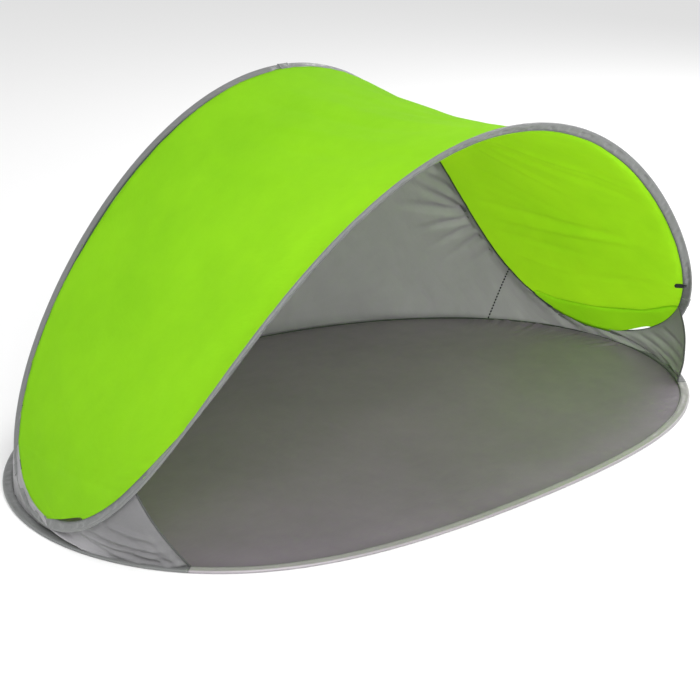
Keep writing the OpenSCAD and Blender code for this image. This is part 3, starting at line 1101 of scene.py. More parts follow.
@dataclass
class Sleeve:
    """A strip of cloth folded over a hoop's wire and sewn shut at its inner edge.

    Attributes:
        name: The piece's name.
        point: Places measured from the hoop's wire.
        start: The angle it starts at.
        end: The angle it ends at.
        step: The distance between its rings, in metres.
        closed: True if it comes back to its start.
        proud: How far it stands outside the plain outline, in metres.
        pucker: The height of its puckers, in metres.
        seed: The seed of its puckers.
        lap: True if its two ends are folded edges that stand a little proud.
        lowest: How far under the wire its underside may reach, in metres.
    """

    name: str
    point: Callable[[Array, Array, Array], Array]
    start: float
    end: float
    step: float = 0.0042
    closed: bool = False
    proud: float = 0.0
    pucker: float = 0.0011
    seed: int = 11
    lap: bool = False
    lowest: float = 1.0

    def angles(self) -> Array:
        """Angles of the rings, evenly spaced along the wire."""
        dense = np.linspace(self.start, self.end, 2001)
        run = lengths(self.point(dense, 0.0, 0.0), 0)
        count = int(round(run[-1] / self.step))
        places = np.linspace(0, run[-1], count + 1)
        return np.interp(places[:-1] if self.closed else places, run, dense)

    def build(self, finish: bpy.types.Material, edge: bpy.types.Material,
              material_slot: str) -> bpy.types.Object:
        """Makes the sleeve's mesh.

        Args:
            finish: The material of its cloth.
            edge: The material of its bound inner edge.
            material_slot: Not used.

        Returns:
            The object.
        """
        half = np.array(SLEEVE_HALF)
        mirrored = half[-2:0:-1] * (1, -1, 1)
        outline = np.concatenate([half, mirrored])
        n, b, free = outline[:, 0] * MM, outline[:, 1] * MM, outline[:, 2]
        side = np.where(np.arange(len(outline)) < len(half), 1.0, -1.0)
        s = self.angles()
        run = lengths(self.point(s, 0.0, 0.0), 0)
        total = run[-1] + self.step
        grid_run = np.broadcast_to(run[:, None], (len(s), len(n)))
        across = np.broadcast_to((n * side)[None, :], grid_run.shape) + SIDES_APART * side
        lift = (
            Ripple((0.0135, 0.012), self.pucker, self.seed, 0.7).at(grid_run, across)
            + Ripple((0.031, 0.02), self.pucker, self.seed + 1, -0.9).at(grid_run, across)
            + Ripple((0.11, 0.5), self.pucker * 0.8, self.seed + 2).at(grid_run, across))
        waver = Ripple((0.05, 0.5), 0.0008, self.seed + 3).at(grid_run, 0 * across)
        if self.closed:
            ends = ease(np.minimum(run, total - run) / 0.03)[:, None]
            lift, waver = lift * ends, waver * ends
        proud = np.full(len(s), self.proud)
        if self.lap:
            near_end = np.minimum(run, run[-1] - run)
            proud = proud + 0.0005 * np.exp(-(near_end / 0.0025) ** 2)
        height = b + side * (lift * free + proud[:, None] * np.sign(np.abs(b) + 1e-9))
        height = np.maximum(height, -self.lowest)
        inwards = n + waver * (n > 0.015) + proud[:, None] * np.where(n < 0, -1.0, 0.4)
        rings = self.point(s[:, None], inwards, height)
        points, faces = tube(rings, self.closed)
        columns = faces % len(n)
        last = len(n) - 1
        on_edge = np.all((columns >= SLEEVE_EDGE) & (columns <= last + 1 - SLEEVE_EDGE), axis=1)
        uv = np.stack([grid_run, across], -1).reshape(-1, 2)
        # Painted shade: the sleeve is darker towards its sewn inner edge.
        painted_shade = np.broadcast_to(ease((n - 0.014) / 0.008)[None, :], grid_run.shape)
        obj = make_object(
            self.name, points, faces, [finish, edge], uv=uv, slots=on_edge.astype(int),
            values={"painted_shade": painted_shade})
        return obj

    def seam(self, n: float, b: float) -> Array:
        """A line along the sleeve at n inwards and b up, in metres."""
        return self.point(self.angles()[::2], n, b)


# ---- the floor -----------------------------------------------------------------------------


@dataclass
class Floor:
    """The floor sheet, its hoop's two sleeves, its wire, and the peg tabs.

    Attributes:
        seam: Where the sheet goes into the sleeves, in metres from the wire.
        cells: How many cells the sheet's grid has along each side.
        thickness: How thick the sheet is.
        lift: How high the sheet's middle surface lies.
        middle: The point that its grid is centred on.
        clear: How high its wrinkles stay above the ground.
        tab_angles: Where the peg tabs are on the hoop.
        tab_top: How high the tops of their stitches lie.
    """

    seam: float = 0.013
    cells: int = 184
    thickness: float = 0.0012
    lift: float = 0.0021
    middle: tuple[float, float, float] = (0.0, -0.01, 0.0)
    clear: float = 0.0010
    tab_angles: tuple[float, ...] = (60.0, 90.0, 120.0)
    tab_top: float = 0.0024

    def place(self, s: Array, r: Array) -> Array:
        """The flat floor at angle s, a share r of the way from its middle to its hoop."""
        edge = HOOPS.floor_point(s, self.seam, 0.0)
        middle = np.array(self.middle)
        point = middle + np.asarray(r)[..., None] * (edge - middle)
        point[..., 2] = self.lift
        return point

    def square(self, a: Array, b: Array) -> Array:
        """The flat floor from a square grid's two numbers, each from -1 to 1."""
        wide = np.abs(a) > np.abs(b)
        r = np.where(wide, a, b)
        safe = np.where(np.abs(r) < 1e-9, 1.0, r)
        turn = np.where(wide, 45.0 * b / safe, 90.0 - 45.0 * a / safe)
        return self.place(np.where(r < 0, turn + 180.0, turn), np.abs(r))

    def folds(self) -> list[Fold]:
        """The floor's pleats: short ones along the seam at the back, and a few long ones."""
        pleats = gathers(
            21, 26, lambda q: (-6 + 40 * q, 0.985),
            lambda q, x: (-2 + 34 * q, 0.90 - 0.12 * x), (0.008, 0.012), (0.0050, 0.0100))
        pleats += gathers(
            22, 22, lambda q: (96 - 45 * q, 0.985),
            lambda q, x: (92 - 45 * q, 0.93 - 0.06 * x), (0.009, 0.013), (0.0012, 0.0030))
        pleats += gathers(
            23, 40, lambda q: (100 + 100 * q, 0.985),
            lambda q, x: (101 + 96 * q, 0.93 - 0.07 * x), (0.009, 0.014), (0.0012, 0.0034))
        pleats += gathers(
            24, 24, lambda q: (205 + 120 * q, 0.985),
            lambda q, x: (208 + 116 * q, 0.95 - 0.05 * x), (0.010, 0.016), (0.0006, 0.0018))
        long = [
            Fold((20, 0.8), (70, 0.35), 0.05, 0.004), Fold((160, 0.75), (110, 0.4), 0.05, 0.004),
            Fold((300, 0.8), (350, 0.5), 0.06, 0.0035), Fold((235, 0.8), (190, 0.5), 0.06, 0.0035)]
        return pleats + long

    @staticmethod
    def near_hoop(a: Array, b: Array) -> Array:
        """How near a place on the square grid is to the hoop: 0 in the middle, 1 at it."""
        return np.maximum(np.abs(a), np.abs(b))

    def sheet(self, shop: Workshop) -> bpy.types.Object:
        """Makes the floor sheet."""
        marks = np.linspace(-1, 1, self.cells + 1)
        panel = Sheet(
            "floor_cloth", self.square, marks, marks, self.thickness, 1.0,
            ripples=[Ripple((0.42, 0.35), 0.0026, 31), Ripple((0.12, 0.15), 0.0010, 32),
                     Ripple((0.045, 0.05), 0.0004, 33)],
            folds=[PlacedFold(fold, self.place) for fold in self.folds()],
            hold=lambda a, b: ease((1.0 - self.near_hoop(a, b)) / 0.012),
            bulge=lambda a, b: 0.0042 * ease((1.0 - self.near_hoop(a, b)) / 0.15),
            # Painted shade: the sheet is darker near its hoop.
            painted_shade=lambda a, b: ease((self.near_hoop(a, b) - 0.93) / 0.07), flat_uv=True,
            least=self.clear - self.lift)
        obj = panel.build(shop.finishes.floor, "floor_fabric")
        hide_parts("floor_sheet")
        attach(obj, ROOT)
        return obj

    def hoop(self, shop: Workshop) -> list[bpy.types.Object]:
        """Makes the two sleeves and the stitches along them."""
        foot = HOOPS.wall_foot_s
        under = HOOPS.floor_z - 0.0001
        rear = Sleeve("floor_sleeve_back", HOOPS.floor_point, -foot, 180 + foot, seed=41,
                      lowest=under)
        front = Sleeve("floor_sleeve_hem", HOOPS.floor_point, 180 + foot + 0.1,
                       360 - foot - 0.1, seed=45, pucker=0.0008, lowest=under)
        finishes = shop.finishes
        made = []
        # The front sleeve takes the lighter copy of the satin, a painted highlight.
        for sleeve, cloth, slot, node in (
                (rear, finishes.sleeve, "sleeve_fabric", "floor_sleeve_rear"),
                (front, finishes.lit_sleeve, "hem_fabric", "floor_sleeve_front")):
            obj = sleeve.build(cloth, finishes.piping, slot)
            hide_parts(node)
            made.append(obj)
        rows = [(sleeve.seam(SEWN_AT, 0.0021), False) for sleeve in (rear, front)]
        made.append(shop.sew("floor_stitches", rows, Thread.GREY))
        foot_line = rear.seam(0.0250, self.lift + 0.0014 - HOOPS.floor_z)
        made.append(shop.bars.lay("floor_wall_seam", [(foot_line, False)],
                                  finishes.binding, Radius=0.0014, Sides=6))
        for obj in made:
            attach(obj, ROOT)
        return made

    def pegs(self, shop: Workshop) -> None:
        """Dresses the peg tabs and sews them down."""
        rows = []
        for s in self.tab_angles:
            angle = np.array(s)
            inner, outer, half_w = -0.008, -0.018, 0.0125
            z = self.tab_top - HOOPS.floor_z
            t = HOOPS.along(HOOPS.floor_wire, angle)
            a, b = (HOOPS.floor_point(angle, n, z) for n in (inner, outer))
            box = [a - t * half_w, a + t * half_w, b + t * half_w, b - t * half_w]
            sides = list(zip(box, box[1:] + box[:1]))
            cross = [(box[0], box[2]), (box[1], box[3])]
            rows += [(np.linspace(p, q, 5), False) for p, q in sides + cross]
        stitches = shop.sew("peg_tab_stitches", rows, Thread.GREY, Pitch=0.0030,
                            Half_length=0.0012, Radius=0.00045)
        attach(stitches, ROOT)
        dress("peg_tabs", shop.finishes.webbing)
        dress("peg_eyelets", shop.finishes.eyelet)
        dress("floor_wire", shop.finishes.wire)
        dress("floor_ferrule", shop.finishes.ferrule)


def dress(node: str, finish: bpy.types.Material) -> None:
    """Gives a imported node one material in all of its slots."""
    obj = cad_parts[node]
    if not obj.material_slots:
        obj.data.materials.append(finish)
    for slot in obj.material_slots:
        slot.link = "OBJECT"
        slot.material = finish


# ---- the walls -----------------------------------------------------------------------------

# The back tape's outline: shares of its half width, and millimetres off the wall's middle.
TAPE_OUTLINE = (
    (-1.0, 0.7), (-0.86, 1.6), (0.0, 1.5), (0.86, 1.6), (1.0, 0.7), (0.86, -0.2), (0.0, -0.3),
    (-0.86, -0.2))
# Its stitch rows, outside and inside: metres from its middle, millimetres off the wall's.
TAPE_ROWS = ((-0.0052, 1.75), (0.0052, 1.75), (-0.004, -1.1), (0.004, -1.1))


@dataclass
class Walls:
    """The two wall panels, their seams, their front edges and the tape down the back.

    Attributes:
        top_inset: How far in from the roof wire the panels are sewn on.
        top_drop: How far under the roof's middle surface.
        foot_z: The height of their feet.
        thickness: How thick the cloth is.
        edge_bulge: How far the front edges belly outwards.
        back_bulge: How far the back bellies outwards.
        foot_inset: How far in from the floor wire the panels are sewn on.
        grid: How many points a panel has along the hoop and down the wall.
        fan_width: How much wider the fan's folds are than listed.
        fan_heights: How much higher they are, on the right and on the left panel.
        corner_height: How much higher the front corners' folds are than listed.
        left_scale: How much wider and higher the left panel's folds are than the right's.
        corner_shade: How much painted shade darkens the right and the left front corner, 0 to 1.
        tape_half_w: Half the width of the tape down the back.
        panels: The right (1) and the left (-1) panel, once they are made.
    """

    top_inset: float = 0.0228
    top_drop: float = -0.0014
    foot_z: float = 0.0050
    thickness: float = 0.0008
    edge_bulge: float = 0.024
    back_bulge: float = 0.012
    foot_inset: float = 0.0228
    grid: tuple[int, int] = (232, 68)
    fan_width: float = 0.9
    fan_heights: Place = (3.1, 0.9)
    corner_height: float = 1.7
    left_scale: Place = (1.05, 1.25)
    corner_shade: Place = (0.3, 1.0)
    tape_half_w: float = 0.007
    panels: dict[int, Sheet] = field(default_factory=dict)

    def place(self, s: Array, k: Array) -> Array:
        """The smooth wall at the roof hoop's angle s, from its top (0) to its foot (1)."""
        s, k = np.broadcast_arrays(np.asarray(s, float), k)
        top = HOOPS.roof_point(s, self.top_inset, self.top_drop)
        rise = self.foot_z - HOOPS.floor_z
        foot = HOOPS.floor_point(HOOPS.foot_angle(s), self.foot_inset, rise)
        return top + k[..., None] * (foot - top)

    def folds(self, side: int) -> list[Fold]:
        """The folds of one panel; the left panel has the right one's, mirrored and scaled.

        Args:
            side: 1 for the right panel and -1 for the left one.

        Returns:
            The folds.
        """
        fan = [
            ((43, 0.02), (60, 0.26), 0.013, 0.0085), ((43, 0.03), (62, 0.40), 0.016, 0.0100),
            ((42, 0.03), (57, 0.50), 0.014, 0.0090), ((41, 0.04), (53, 0.58), 0.012, 0.0070),
            ((39, 0.05), (49, 0.62), 0.012, 0.0060), ((47, 0.02), (64, 0.20), 0.014, 0.0060),
            ((52, 0.02), (72, 0.30), 0.020, 0.0060), ((36, 0.06), (44, 0.60), 0.012, 0.0045),
            ((60, 0.02), (80, 0.35), 0.025, 0.0060), ((70, 0.02), (86, 0.45), 0.030, 0.0060)]
        corner = [
            ((4, 0.10), (-18, 0.95), 0.0085, 0.0060), ((-1, 0.08), (-18, 0.86), 0.0080, 0.0065),
            ((-5, 0.10), (-18.5, 0.76), 0.0075, 0.0050), ((8, 0.25), (-17, 0.98), 0.0090, 0.0060),
            ((12, 0.45), (-12, 0.99), 0.0090, 0.0045), ((-9, 0.06), (-18.5, 0.62), 0.0070, 0.0040),
            ((-2, 0.35), (-17, 0.97), 0.0070, 0.0050), ((14, 0.15), (0, 0.92), 0.0100, 0.0050),
            ((20, 0.10), (10, 0.95), 0.0120, 0.0050), ((26, 0.10), (17, 0.92), 0.0130, 0.0045)]
        fan_height = self.fan_heights[0 if side > 0 else 1]
        folds = [Fold(a, b, self.fan_width * w, fan_height * h, Fade.FAR_END)
                 for a, b, w, h in fan]
        folds += [Fold(a, b, w, self.corner_height * h) for a, b, w, h in corner]
        folds += gathers(
            51, 26, lambda q: (-17 + 104 * q, 0.985),
            lambda q, x: (-16 + 104 * q, 0.88 - 0.12 * x), (0.008, 0.013), (0.0015, 0.0040))
        folds += gathers(
            52, 30, lambda q: (2 + 86 * q, 0.015),
            lambda q, x: (4 + 86 * q, 0.10 + 0.10 * x), (0.008, 0.013), (0.0012, 0.0032))
        folds += gathers(
            53, 13, lambda q: (-18.4 + 4 * q, 0.985),
            lambda q, x: (-17 + 36 * q, 0.08 + 0.30 * x), (0.005, 0.008), (0.0035, 0.0075))
        if side > 0:
            return folds
        wider, higher = self.left_scale
        return [Fold((180 - f.start[0], f.start[1]), (180 - f.end[0], f.end[1]),
                     f.width * wider, f.height * higher, f.fade, -f.bow) for f in folds]

    def bulge(self, s: Array, k: Array) -> Array:
        """How far the wall bellies out: at its front edges, and softly along the back."""
        from_edge = np.minimum(s + HOOPS.wall_top_s, 180 + HOOPS.wall_top_s - s)
        front = self.edge_bulge * (1 - ease(from_edge / 16.0))
        back = self.back_bulge * ease((from_edge - 20.0) / 50.0)
        return (front + back) * 4 * k * (1 - k)

    def painted_shade(self, s: Array, k: Array) -> Array:
        """The wall's painted shade: darker at its seams, and at its crinkled front corners."""
        # Painted shade at the top and foot seams and at the front corners, the right corner lighter
        # than the left.
        seams = np.maximum(1 - ease(k / 0.06), ease((k - 0.94) / 0.06))
        right, left = self.corner_shade
        corners = ease((np.abs(s - 90) - 88.0) / 14.0) * np.where(s > 90, left, right)
        return np.maximum(0.5 * seams, corners)

    def panel(self, shop: Workshop, side: int) -> bpy.types.Object:
        """Makes one wall panel.

        Args:
            shop: The finishes.
            side: 1 for the right panel and -1 for the left one.

        Returns:
            The object.
        """
        top = HOOPS.wall_top_s
        first, last = (-top, 90.0) if side > 0 else (90.0, 180 + top)
        rows = np.linspace(first, last, self.grid[0])
        columns = crowded(self.grid[1], 0.35)
        sheet = Sheet(
            "wall_panel_right" if side > 0 else "wall_panel_left", self.place, rows, columns,
            self.thickness, -1.0,
            ripples=[Ripple((0.30, 0.22), 0.0050, 61 + side, 0.5),
                     Ripple((0.10, 0.08), 0.0018, 63 + side, 0.8),
                     Ripple((0.035, 0.03), 0.0005, 65 + side, 0.5)],
            folds=self.folds(side),
            hold=lambda s, k: ease(k / 0.06) * ease((1 - k) / 0.03) * ease(
                np.abs(s - 90) / 1.5 + 0.15),
            bulge=self.bulge, painted_shade=self.painted_shade, lowest=0.0030)
        obj = sheet.build(shop.finishes.wall, "grey_fabric")
        self.panels[side] = sheet
        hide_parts("wall_right" if side > 0 else "wall_left")
        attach(obj, ROOT)
        return obj

    def edge(self, shop: Workshop, side: int) -> bpy.types.Object:
        """Makes the piping on one panel's front edge."""
        sheet = self.panels[side]
        row = 0 if side > 0 else -1
        ahead = unit(sheet.middle[row] - sheet.middle[1 if side > 0 else -2])
        line = (sheet.middle[row] + ahead * 0.0022)[1:-1]
        name = "wall_edge_right" if side > 0 else "wall_edge_left"
        obj = shop.bars.lay(name, [(line, False)], shop.finishes.piping, Radius=0.0027)
        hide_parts("wall_piping_right" if side > 0 else "wall_piping_left")
        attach(obj, ROOT)
        return obj

    def on_panel(self, side: int, ends: tuple[Place, Place], count: int, out: float) -> Array:
        """A line on a panel's wrinkled surface between two places.

        Args:
            side: 1 for the right panel and -1 for the left one.
            ends: Its two ends, as an angle and a share down the wall.
            count: How many points it has.
            out: How far it stands off the middle of the cloth, in metres.

        Returns:
            Its points.
        """
        s, k = (np.linspace(ends[0][i], ends[1][i], count) for i in range(2))
        return self.panels[side].at(s if side > 0 else 180 - s, k, out)

    def seams(self, shop: Workshop) -> list[bpy.types.Object]:
        """Makes the side seams' black stitches and the tape down the back, with its rows."""
        side_seam = ((30.8, 0.02), (37.0, 0.985))
        rows = [(self.on_panel(side, side_seam, 90, out), False)
                for side in (1, -1) for out in (-0.0010, 0.0010)]
        black = shop.sew("side_seam_stitches", rows, Thread.BLACK, Pitch=0.0118,
                         Half_length=0.0050, Radius=0.0030)
        k = np.linspace(0.02, 0.975, 60)
        outwards = self.panels[1].normals[-1, self.grid[1] // 2]
        middle = self.place(np.full_like(k, 90.0), k) + np.outer(
            self.back_bulge * 4 * k * (1 - k), outwards)
        out = unit(np.cross(np.array([1.0, 0.0, 0.0]), np.gradient(middle, axis=0)))
        out = out * np.sign(out[len(k) // 2, 1])
        waver = Ripple((0.06, 0.5), 0.0010, 71).at(lengths(middle, 0), 0 * k)
        rings = []
        for x, rise in TAPE_OUTLINE:
            shift = np.stack([x * self.tape_half_w + waver, 0 * k, 0 * k], -1)
            rings.append(middle + shift + out * rise * MM)
        rings = np.roll(np.stack(rings, 1), 2, axis=1)
        points, faces = tube(rings, False)
        tape = make_object("back_tape", points, faces, [shop.finishes.tape])
        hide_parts("back_seam_tape")
        lines = []
        for x, rise in TAPE_ROWS:
            shift = np.stack([x + waver, 0 * k, 0 * k], -1)
            lines.append((middle + shift + out * rise * MM, False))
        sewn = shop.sew("back_tape_stitches", lines, Thread.DARK, Pitch=0.0038)
        for obj in (black, tape, sewn):
            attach(obj, ROOT)
        return [black, tape, sewn]

    def build(self, shop: Workshop) -> list[bpy.types.Object]:
        """Makes all of the walls."""
        return [self.panel(shop, 1), self.panel(shop, -1), self.edge(shop, 1),
                self.edge(shop, -1), *self.seams(shop)]


# ---- the roof ------------------------------------------------------------------------------


# The inner binding's outline in millimetres: inwards from the wire, off the roof's middle.
BINDING_OUTLINE = (
    (24.0, -1.4), (24.8, -0.7), (27.5, -0.6), (30.2, -0.7), (31.0, -1.4), (30.2, -2.6),
    (27.5, -3.0), (24.8, -2.6))
# A flat band's outline, as shares of half its width and of half its thickness.
BAND_OUTLINE = (
    (-1, 0), (-0.9, 1), (0, 1.1), (0.9, 1), (1, 0), (0.9, -1), (0, -1.1), (-0.9, -1))


@dataclass
class Roof:
    """The roof sheet, its hoop and everything that is sewn to them.

    Attributes:
        seam: Where the sheet goes into the sleeve, in metres from the wire.
        thickness: How thick the sheet is.
        end_s: How near to the lobes' tips the sheet reaches, in degrees.
        crease_span: The angles that the crease lies between, where the grid is denser.
        grid: How many rows the grid has before, between and past those, and its columns.
        cuff_angles: Where the sleeve's ends lap over each other.
        cuff_length: How long each lap is.
        guy_angles: Where the guy loops are.
        tab_angle: Where the webbing tab is.
        tab_twist: How far the tab turns about its own length, in degrees.
        crease_line: Where the crease over the right lobe runs, as shares of the way to the
            front and angles.
        crease_height: How far it stands outwards, in metres.
        crease_width: The distance over which it dies away.
        crease_scale: Metres along the cloth for each degree there.
        crease_shade: How much painted shade darkens a thin line right in the crease.
        crease_shade_width: Half the width of that painted dark line, in metres.
        panel: The sheet, once it is made.
    """

    seam: float = 0.013
    thickness: float = 0.0008
    end_s: float = 6.0
    crease_span: Place = (15.0, 27.0)
    grid: tuple[int, int, int, int] = (28, 70, 288, 86)
    cuff_angles: tuple[float, ...] = (-21.5, 89.8, 159.5)
    cuff_length: float = 0.034
    guy_angles: tuple[float, ...] = (58.0, 122.0)
    tab_angle: float = -27.0
    tab_twist: float = -60.0
    crease_line: tuple[Place, ...] = (
        (0.06, 24.8), (0.14, 22.3), (0.39, 19.4), (0.70, 17.5), (1.0, 17.7))
    crease_height: float = 0.011
    crease_width: float = 0.007
    crease_scale: float = 0.019
    crease_shade: float = 2.6
    crease_shade_width: float = 0.0045
    panel: Optional[Sheet] = None

    def place(self, s: Array, k: Array) -> Array:
        """The smooth roof at angle s, from the back (0) to the front (1)."""
        s, k = np.broadcast_arrays(np.asarray(s, float), k)
        back = HOOPS.roof_point(s, self.seam, 0.0)
        front = HOOPS.roof_point(-s, self.seam, 0.0)
        point = back + k[..., None] * (front - back)
        width = np.linalg.norm(back - front, axis=-1)
        x = (1 - k) * width
        curl = (k * x * np.exp(-x / HOOPS.front_curl))[..., None]
        point = point + curl * (HOOPS.inward(-s) - unit(back - front))
        dip = HOOPS.roof_dip * 4 * k * (1 - k) * np.sin(np.radians(s)) ** 2
        point[..., 2] -= dip
        return point

    def folds(self) -> list[Fold]:
        """The roof's folds: long soft ones, a crease over each lobe, and seam gathers."""
        inside = [
            ((67, 0.34), (54, 0.96), 0.015, -0.0070), ((65, 0.28), (51, 0.92), 0.017, 0.0080),
            ((62, 0.24), (49, 0.70), 0.014, -0.0050), ((55, 0.16), (45, 0.58), 0.018, 0.0030),
            ((50, 0.10), (43, 0.62), 0.016, -0.0030), ((46, 0.08), (41, 0.78), 0.018, 0.0085),
            ((43, 0.07), (39, 0.84), 0.015, -0.0070), ((40, 0.06), (36, 0.55), 0.016, 0.0040),
            ((36, 0.05), (30, 0.45), 0.014, -0.0030), ((31, 0.30), (27, 0.90), 0.018, 0.0030)]
        crest = [
            ((96, 0.05), (88, 0.97), 0.030, 0.0050), ((101, 0.05), (93, 0.85), 0.026, -0.0050),
            ((104, 0.12), (99, 0.88), 0.028, 0.0050), ((90, 0.12), (82, 0.95), 0.030, -0.0050),
            ((85, 0.06), (76, 0.80), 0.028, 0.0045), ((108, 0.20), (104, 0.80), 0.022, -0.0040),
            ((112, 0.08), (110, 0.70), 0.026, 0.0035), ((79, 0.10), (71, 0.75), 0.026, 0.0045),
            ((104, 0.30), (101, 0.47), 0.007, 0.0030)]
        left = [
            ((124, 0.10), (118, 0.90), 0.050, 0.0040), ((133, 0.12), (139, 0.90), 0.055, -0.0045),
            ((140, 0.10), (150, 0.85), 0.045, 0.0040), ((147, 0.15), (158, 0.80), 0.040, -0.0035)]
        folds = [Fold(a, b, w, h) for a, b, w, h in inside + crest + left]
        folds += [
            Fold((154.5, 0.02), (162.5, 1.0), 0.016, 0.0050, Fade.NEVER, -0.03)]
        folds += gathers(
            81, 12, lambda q: (164 - 14 * q, 0.985),
            lambda q, x: (164 - 14 * q, 0.80 - 0.12 * x), (0.006, 0.009), (0.0020, 0.0045))
        folds += gathers(
            82, 34, lambda q: (18 + 126 * q, 0.99),
            lambda q, x: (18 + 126 * q, 0.95 - 0.05 * x), (0.008, 0.013), (0.0006, 0.0020))
        folds += gathers(
            83, 44, lambda q: (14 + 152 * q, 0.01),
            lambda q, x: (14 + 152 * q, 0.04 + 0.06 * x), (0.008, 0.013), (0.0006, 0.0022))
        return folds

    def past_crease(self, s: Array, k: Array) -> Array:
        """How far a place is past the crease over the right lobe, in metres."""
        shares, angles = zip(*self.crease_line)
        return (np.interp(k, shares, angles) - s) * self.crease_scale

    def crease(self, s: Array, k: Array) -> Array:
        """The height of the sharp crease, where the cloth bends over the right lobe."""
        away = np.abs(self.past_crease(s, k))
        return self.crease_height * np.exp(-away / self.crease_width) * ease(k / 0.08)

    def painted_shade(self, s: Array, k: Array) -> Array:
        """The roof's painted shade: darker at its seams, along the crease, and past the crease over
        the right lobe.
        """
        # Painted shade at the seams, in a thin line along the crease and on the band past the
        # crease.
        seams = np.maximum(1 - ease(k / 0.04), ease((k - 0.96) / 0.04))
        past = self.past_crease(s, k)
        tuck = self.crease_shade * np.exp(-((past / self.crease_shade_width) ** 2)) * ease(k / 0.08)
        return np.maximum(np.maximum(0.3 * seams, ease(past / 0.012)), tuck)

    def sheet(self, shop: Workshop) -> bpy.types.Object:
        """Makes the roof sheet."""
        low, high = self.crease_span
        before, between, past, across = self.grid
        columns = crowded(across, 0.4)
        rows = np.concatenate([
            np.linspace(self.end_s, low, before)[:-1], np.linspace(low, high, between)[:-1],
            np.linspace(high, 180 - self.end_s, past)])
        self.panel = Sheet(
            "roof_cloth", self.place, rows, columns, self.thickness, 1.0,
            ripples=[Ripple((0.34, 0.26), 0.0040, 91, 0.4), Ripple((0.12, 0.10), 0.0014, 92, -0.5),
                     Ripple((0.045, 0.04), 0.0004, 93)],
            folds=self.folds(),
            hold=lambda s, k: ease(k / 0.02) * ease((1 - k) / 0.02) * ease(
                np.sin(np.radians(s)) / 0.12),
            bulge=self.crease, painted_shade=self.painted_shade)
        obj = self.panel.build(shop.finishes.lime, "lime_fabric")
        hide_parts("roof_sheet")
        return bend(obj)

    def hoop(self, shop: Workshop) -> list[bpy.types.Object]:
        """Makes the sleeve round the whole hoop, its laps, its stitches and its wire."""
        finishes = shop.finishes
        sleeve = Sleeve("roof_hoop_sleeve", HOOPS.roof_point, -90, 270, closed=True, seed=101,
                        pucker=0.0015)
        made = [sleeve.build(finishes.sleeve, finishes.binding, "sleeve_fabric")]
        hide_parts("roof_sleeve_rear", "roof_sleeve_front")
        for i, s in enumerate(self.cuff_angles):
            reach = self.cuff_length / 2 / float(np.linalg.norm(
                HOOPS.roof_wire(np.array(s + 0.5)) - HOOPS.roof_wire(np.array(s - 0.5))))
            cuff = Sleeve(
                f"roof_sleeve_lap_{i + 1}", HOOPS.roof_point, s - reach, s + reach,
                step=0.0016, proud=0.0013, pucker=0.0014, seed=111 + 5 * i, lap=True)
            made.append(cuff.build(finishes.sleeve, finishes.binding, "sleeve_fabric"))
        rows = [(sleeve.seam(SEWN_AT, b), True) for b in (0.0022, -0.0022)]
        made.append(shop.sew("roof_stitches", rows, Thread.GREY))
        wire = HOOPS.roof_wire(np.linspace(-90, 270, 721)[:-1])
        made.append(shop.bars.lay("roof_hoop_wire", [(wire, True)], finishes.wire))
        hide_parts("roof_wire_rear", "roof_wire_front")
        for obj in made:
            bend(obj)
        dress("ferrule_right", finishes.ferrule)
        dress("ferrule_left", finishes.ferrule)
        return made

    def binding(self, shop: Workshop) -> bpy.types.Object:
        """Makes the dark binding inside, where the walls are sewn to the roof."""
        s = np.linspace(20.0, 160.0, 560)
        width = np.linalg.norm(self.place(s, 0.0) - self.place(s, 1.0), axis=-1)
        run = lengths(HOOPS.roof_wire(s), 0)
        waver = Ripple((0.05, 0.5), 0.0007, 121).at(run, 0 * run)
        rings = [
            self.panel.at(s, (n * MM - self.seam + waver) / width, b * MM)
            for n, b in BINDING_OUTLINE]
        points, faces = tube(np.stack(rings, 1), False)
        obj = make_object("roof_wall_binding", points, faces, [shop.finishes.binding])
        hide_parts("roof_seam_tape")
        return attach(obj, ROOT)

    def tab(self, shop: Workshop) -> list[bpy.types.Object]:
        """Makes the webbing tab inside the front arch, with the stitches that hold it."""
        s = np.array(self.tab_angle)
        t, up = HOOPS.along(HOOPS.roof_wire, s), HOOPS.upward(s)
        rings = []
        for n in np.linspace(0.012, 0.049, 22):
            past = max(0.0, (n - 0.0425) / 0.0066)
            half_w = 0.0065 * float(np.sqrt(max(0.03, 1 - past * past)))
            hang = -0.0040 - 0.05 * (n - 0.012) * (n - 0.012) / 0.037
            turn = np.radians(self.tab_twist) * float(ease(np.array((n - 0.016) / 0.016)))
            across = np.cos(turn) * t + np.sin(turn) * up
            face = np.cos(turn) * up - np.sin(turn) * t
            ring = [HOOPS.roof_point(s, n, hang) + across * half_w * x + face * 0.0008 * b
                    for x, b in BAND_OUTLINE]
            rings.append(ring)
        points, faces = tube(np.array(rings), False)
        tab = make_object("inner_webbing_tab", points, faces, [shop.finishes.webbing])
        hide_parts("webbing_tab")
        rows = [(np.stack([HOOPS.roof_point(s, n, -0.0052) + t * x
                           for x in np.linspace(-0.005, 0.005, 5)]), False)
                for n in (0.0150, 0.0185)]
        sewn = shop.sew("inner_tab_stitches", rows, Thread.GREY, slot="webbing",
                        Pitch=0.0022, Half_length=0.0009, Radius=0.0004)
        return [bend(tab), bend(sewn)]

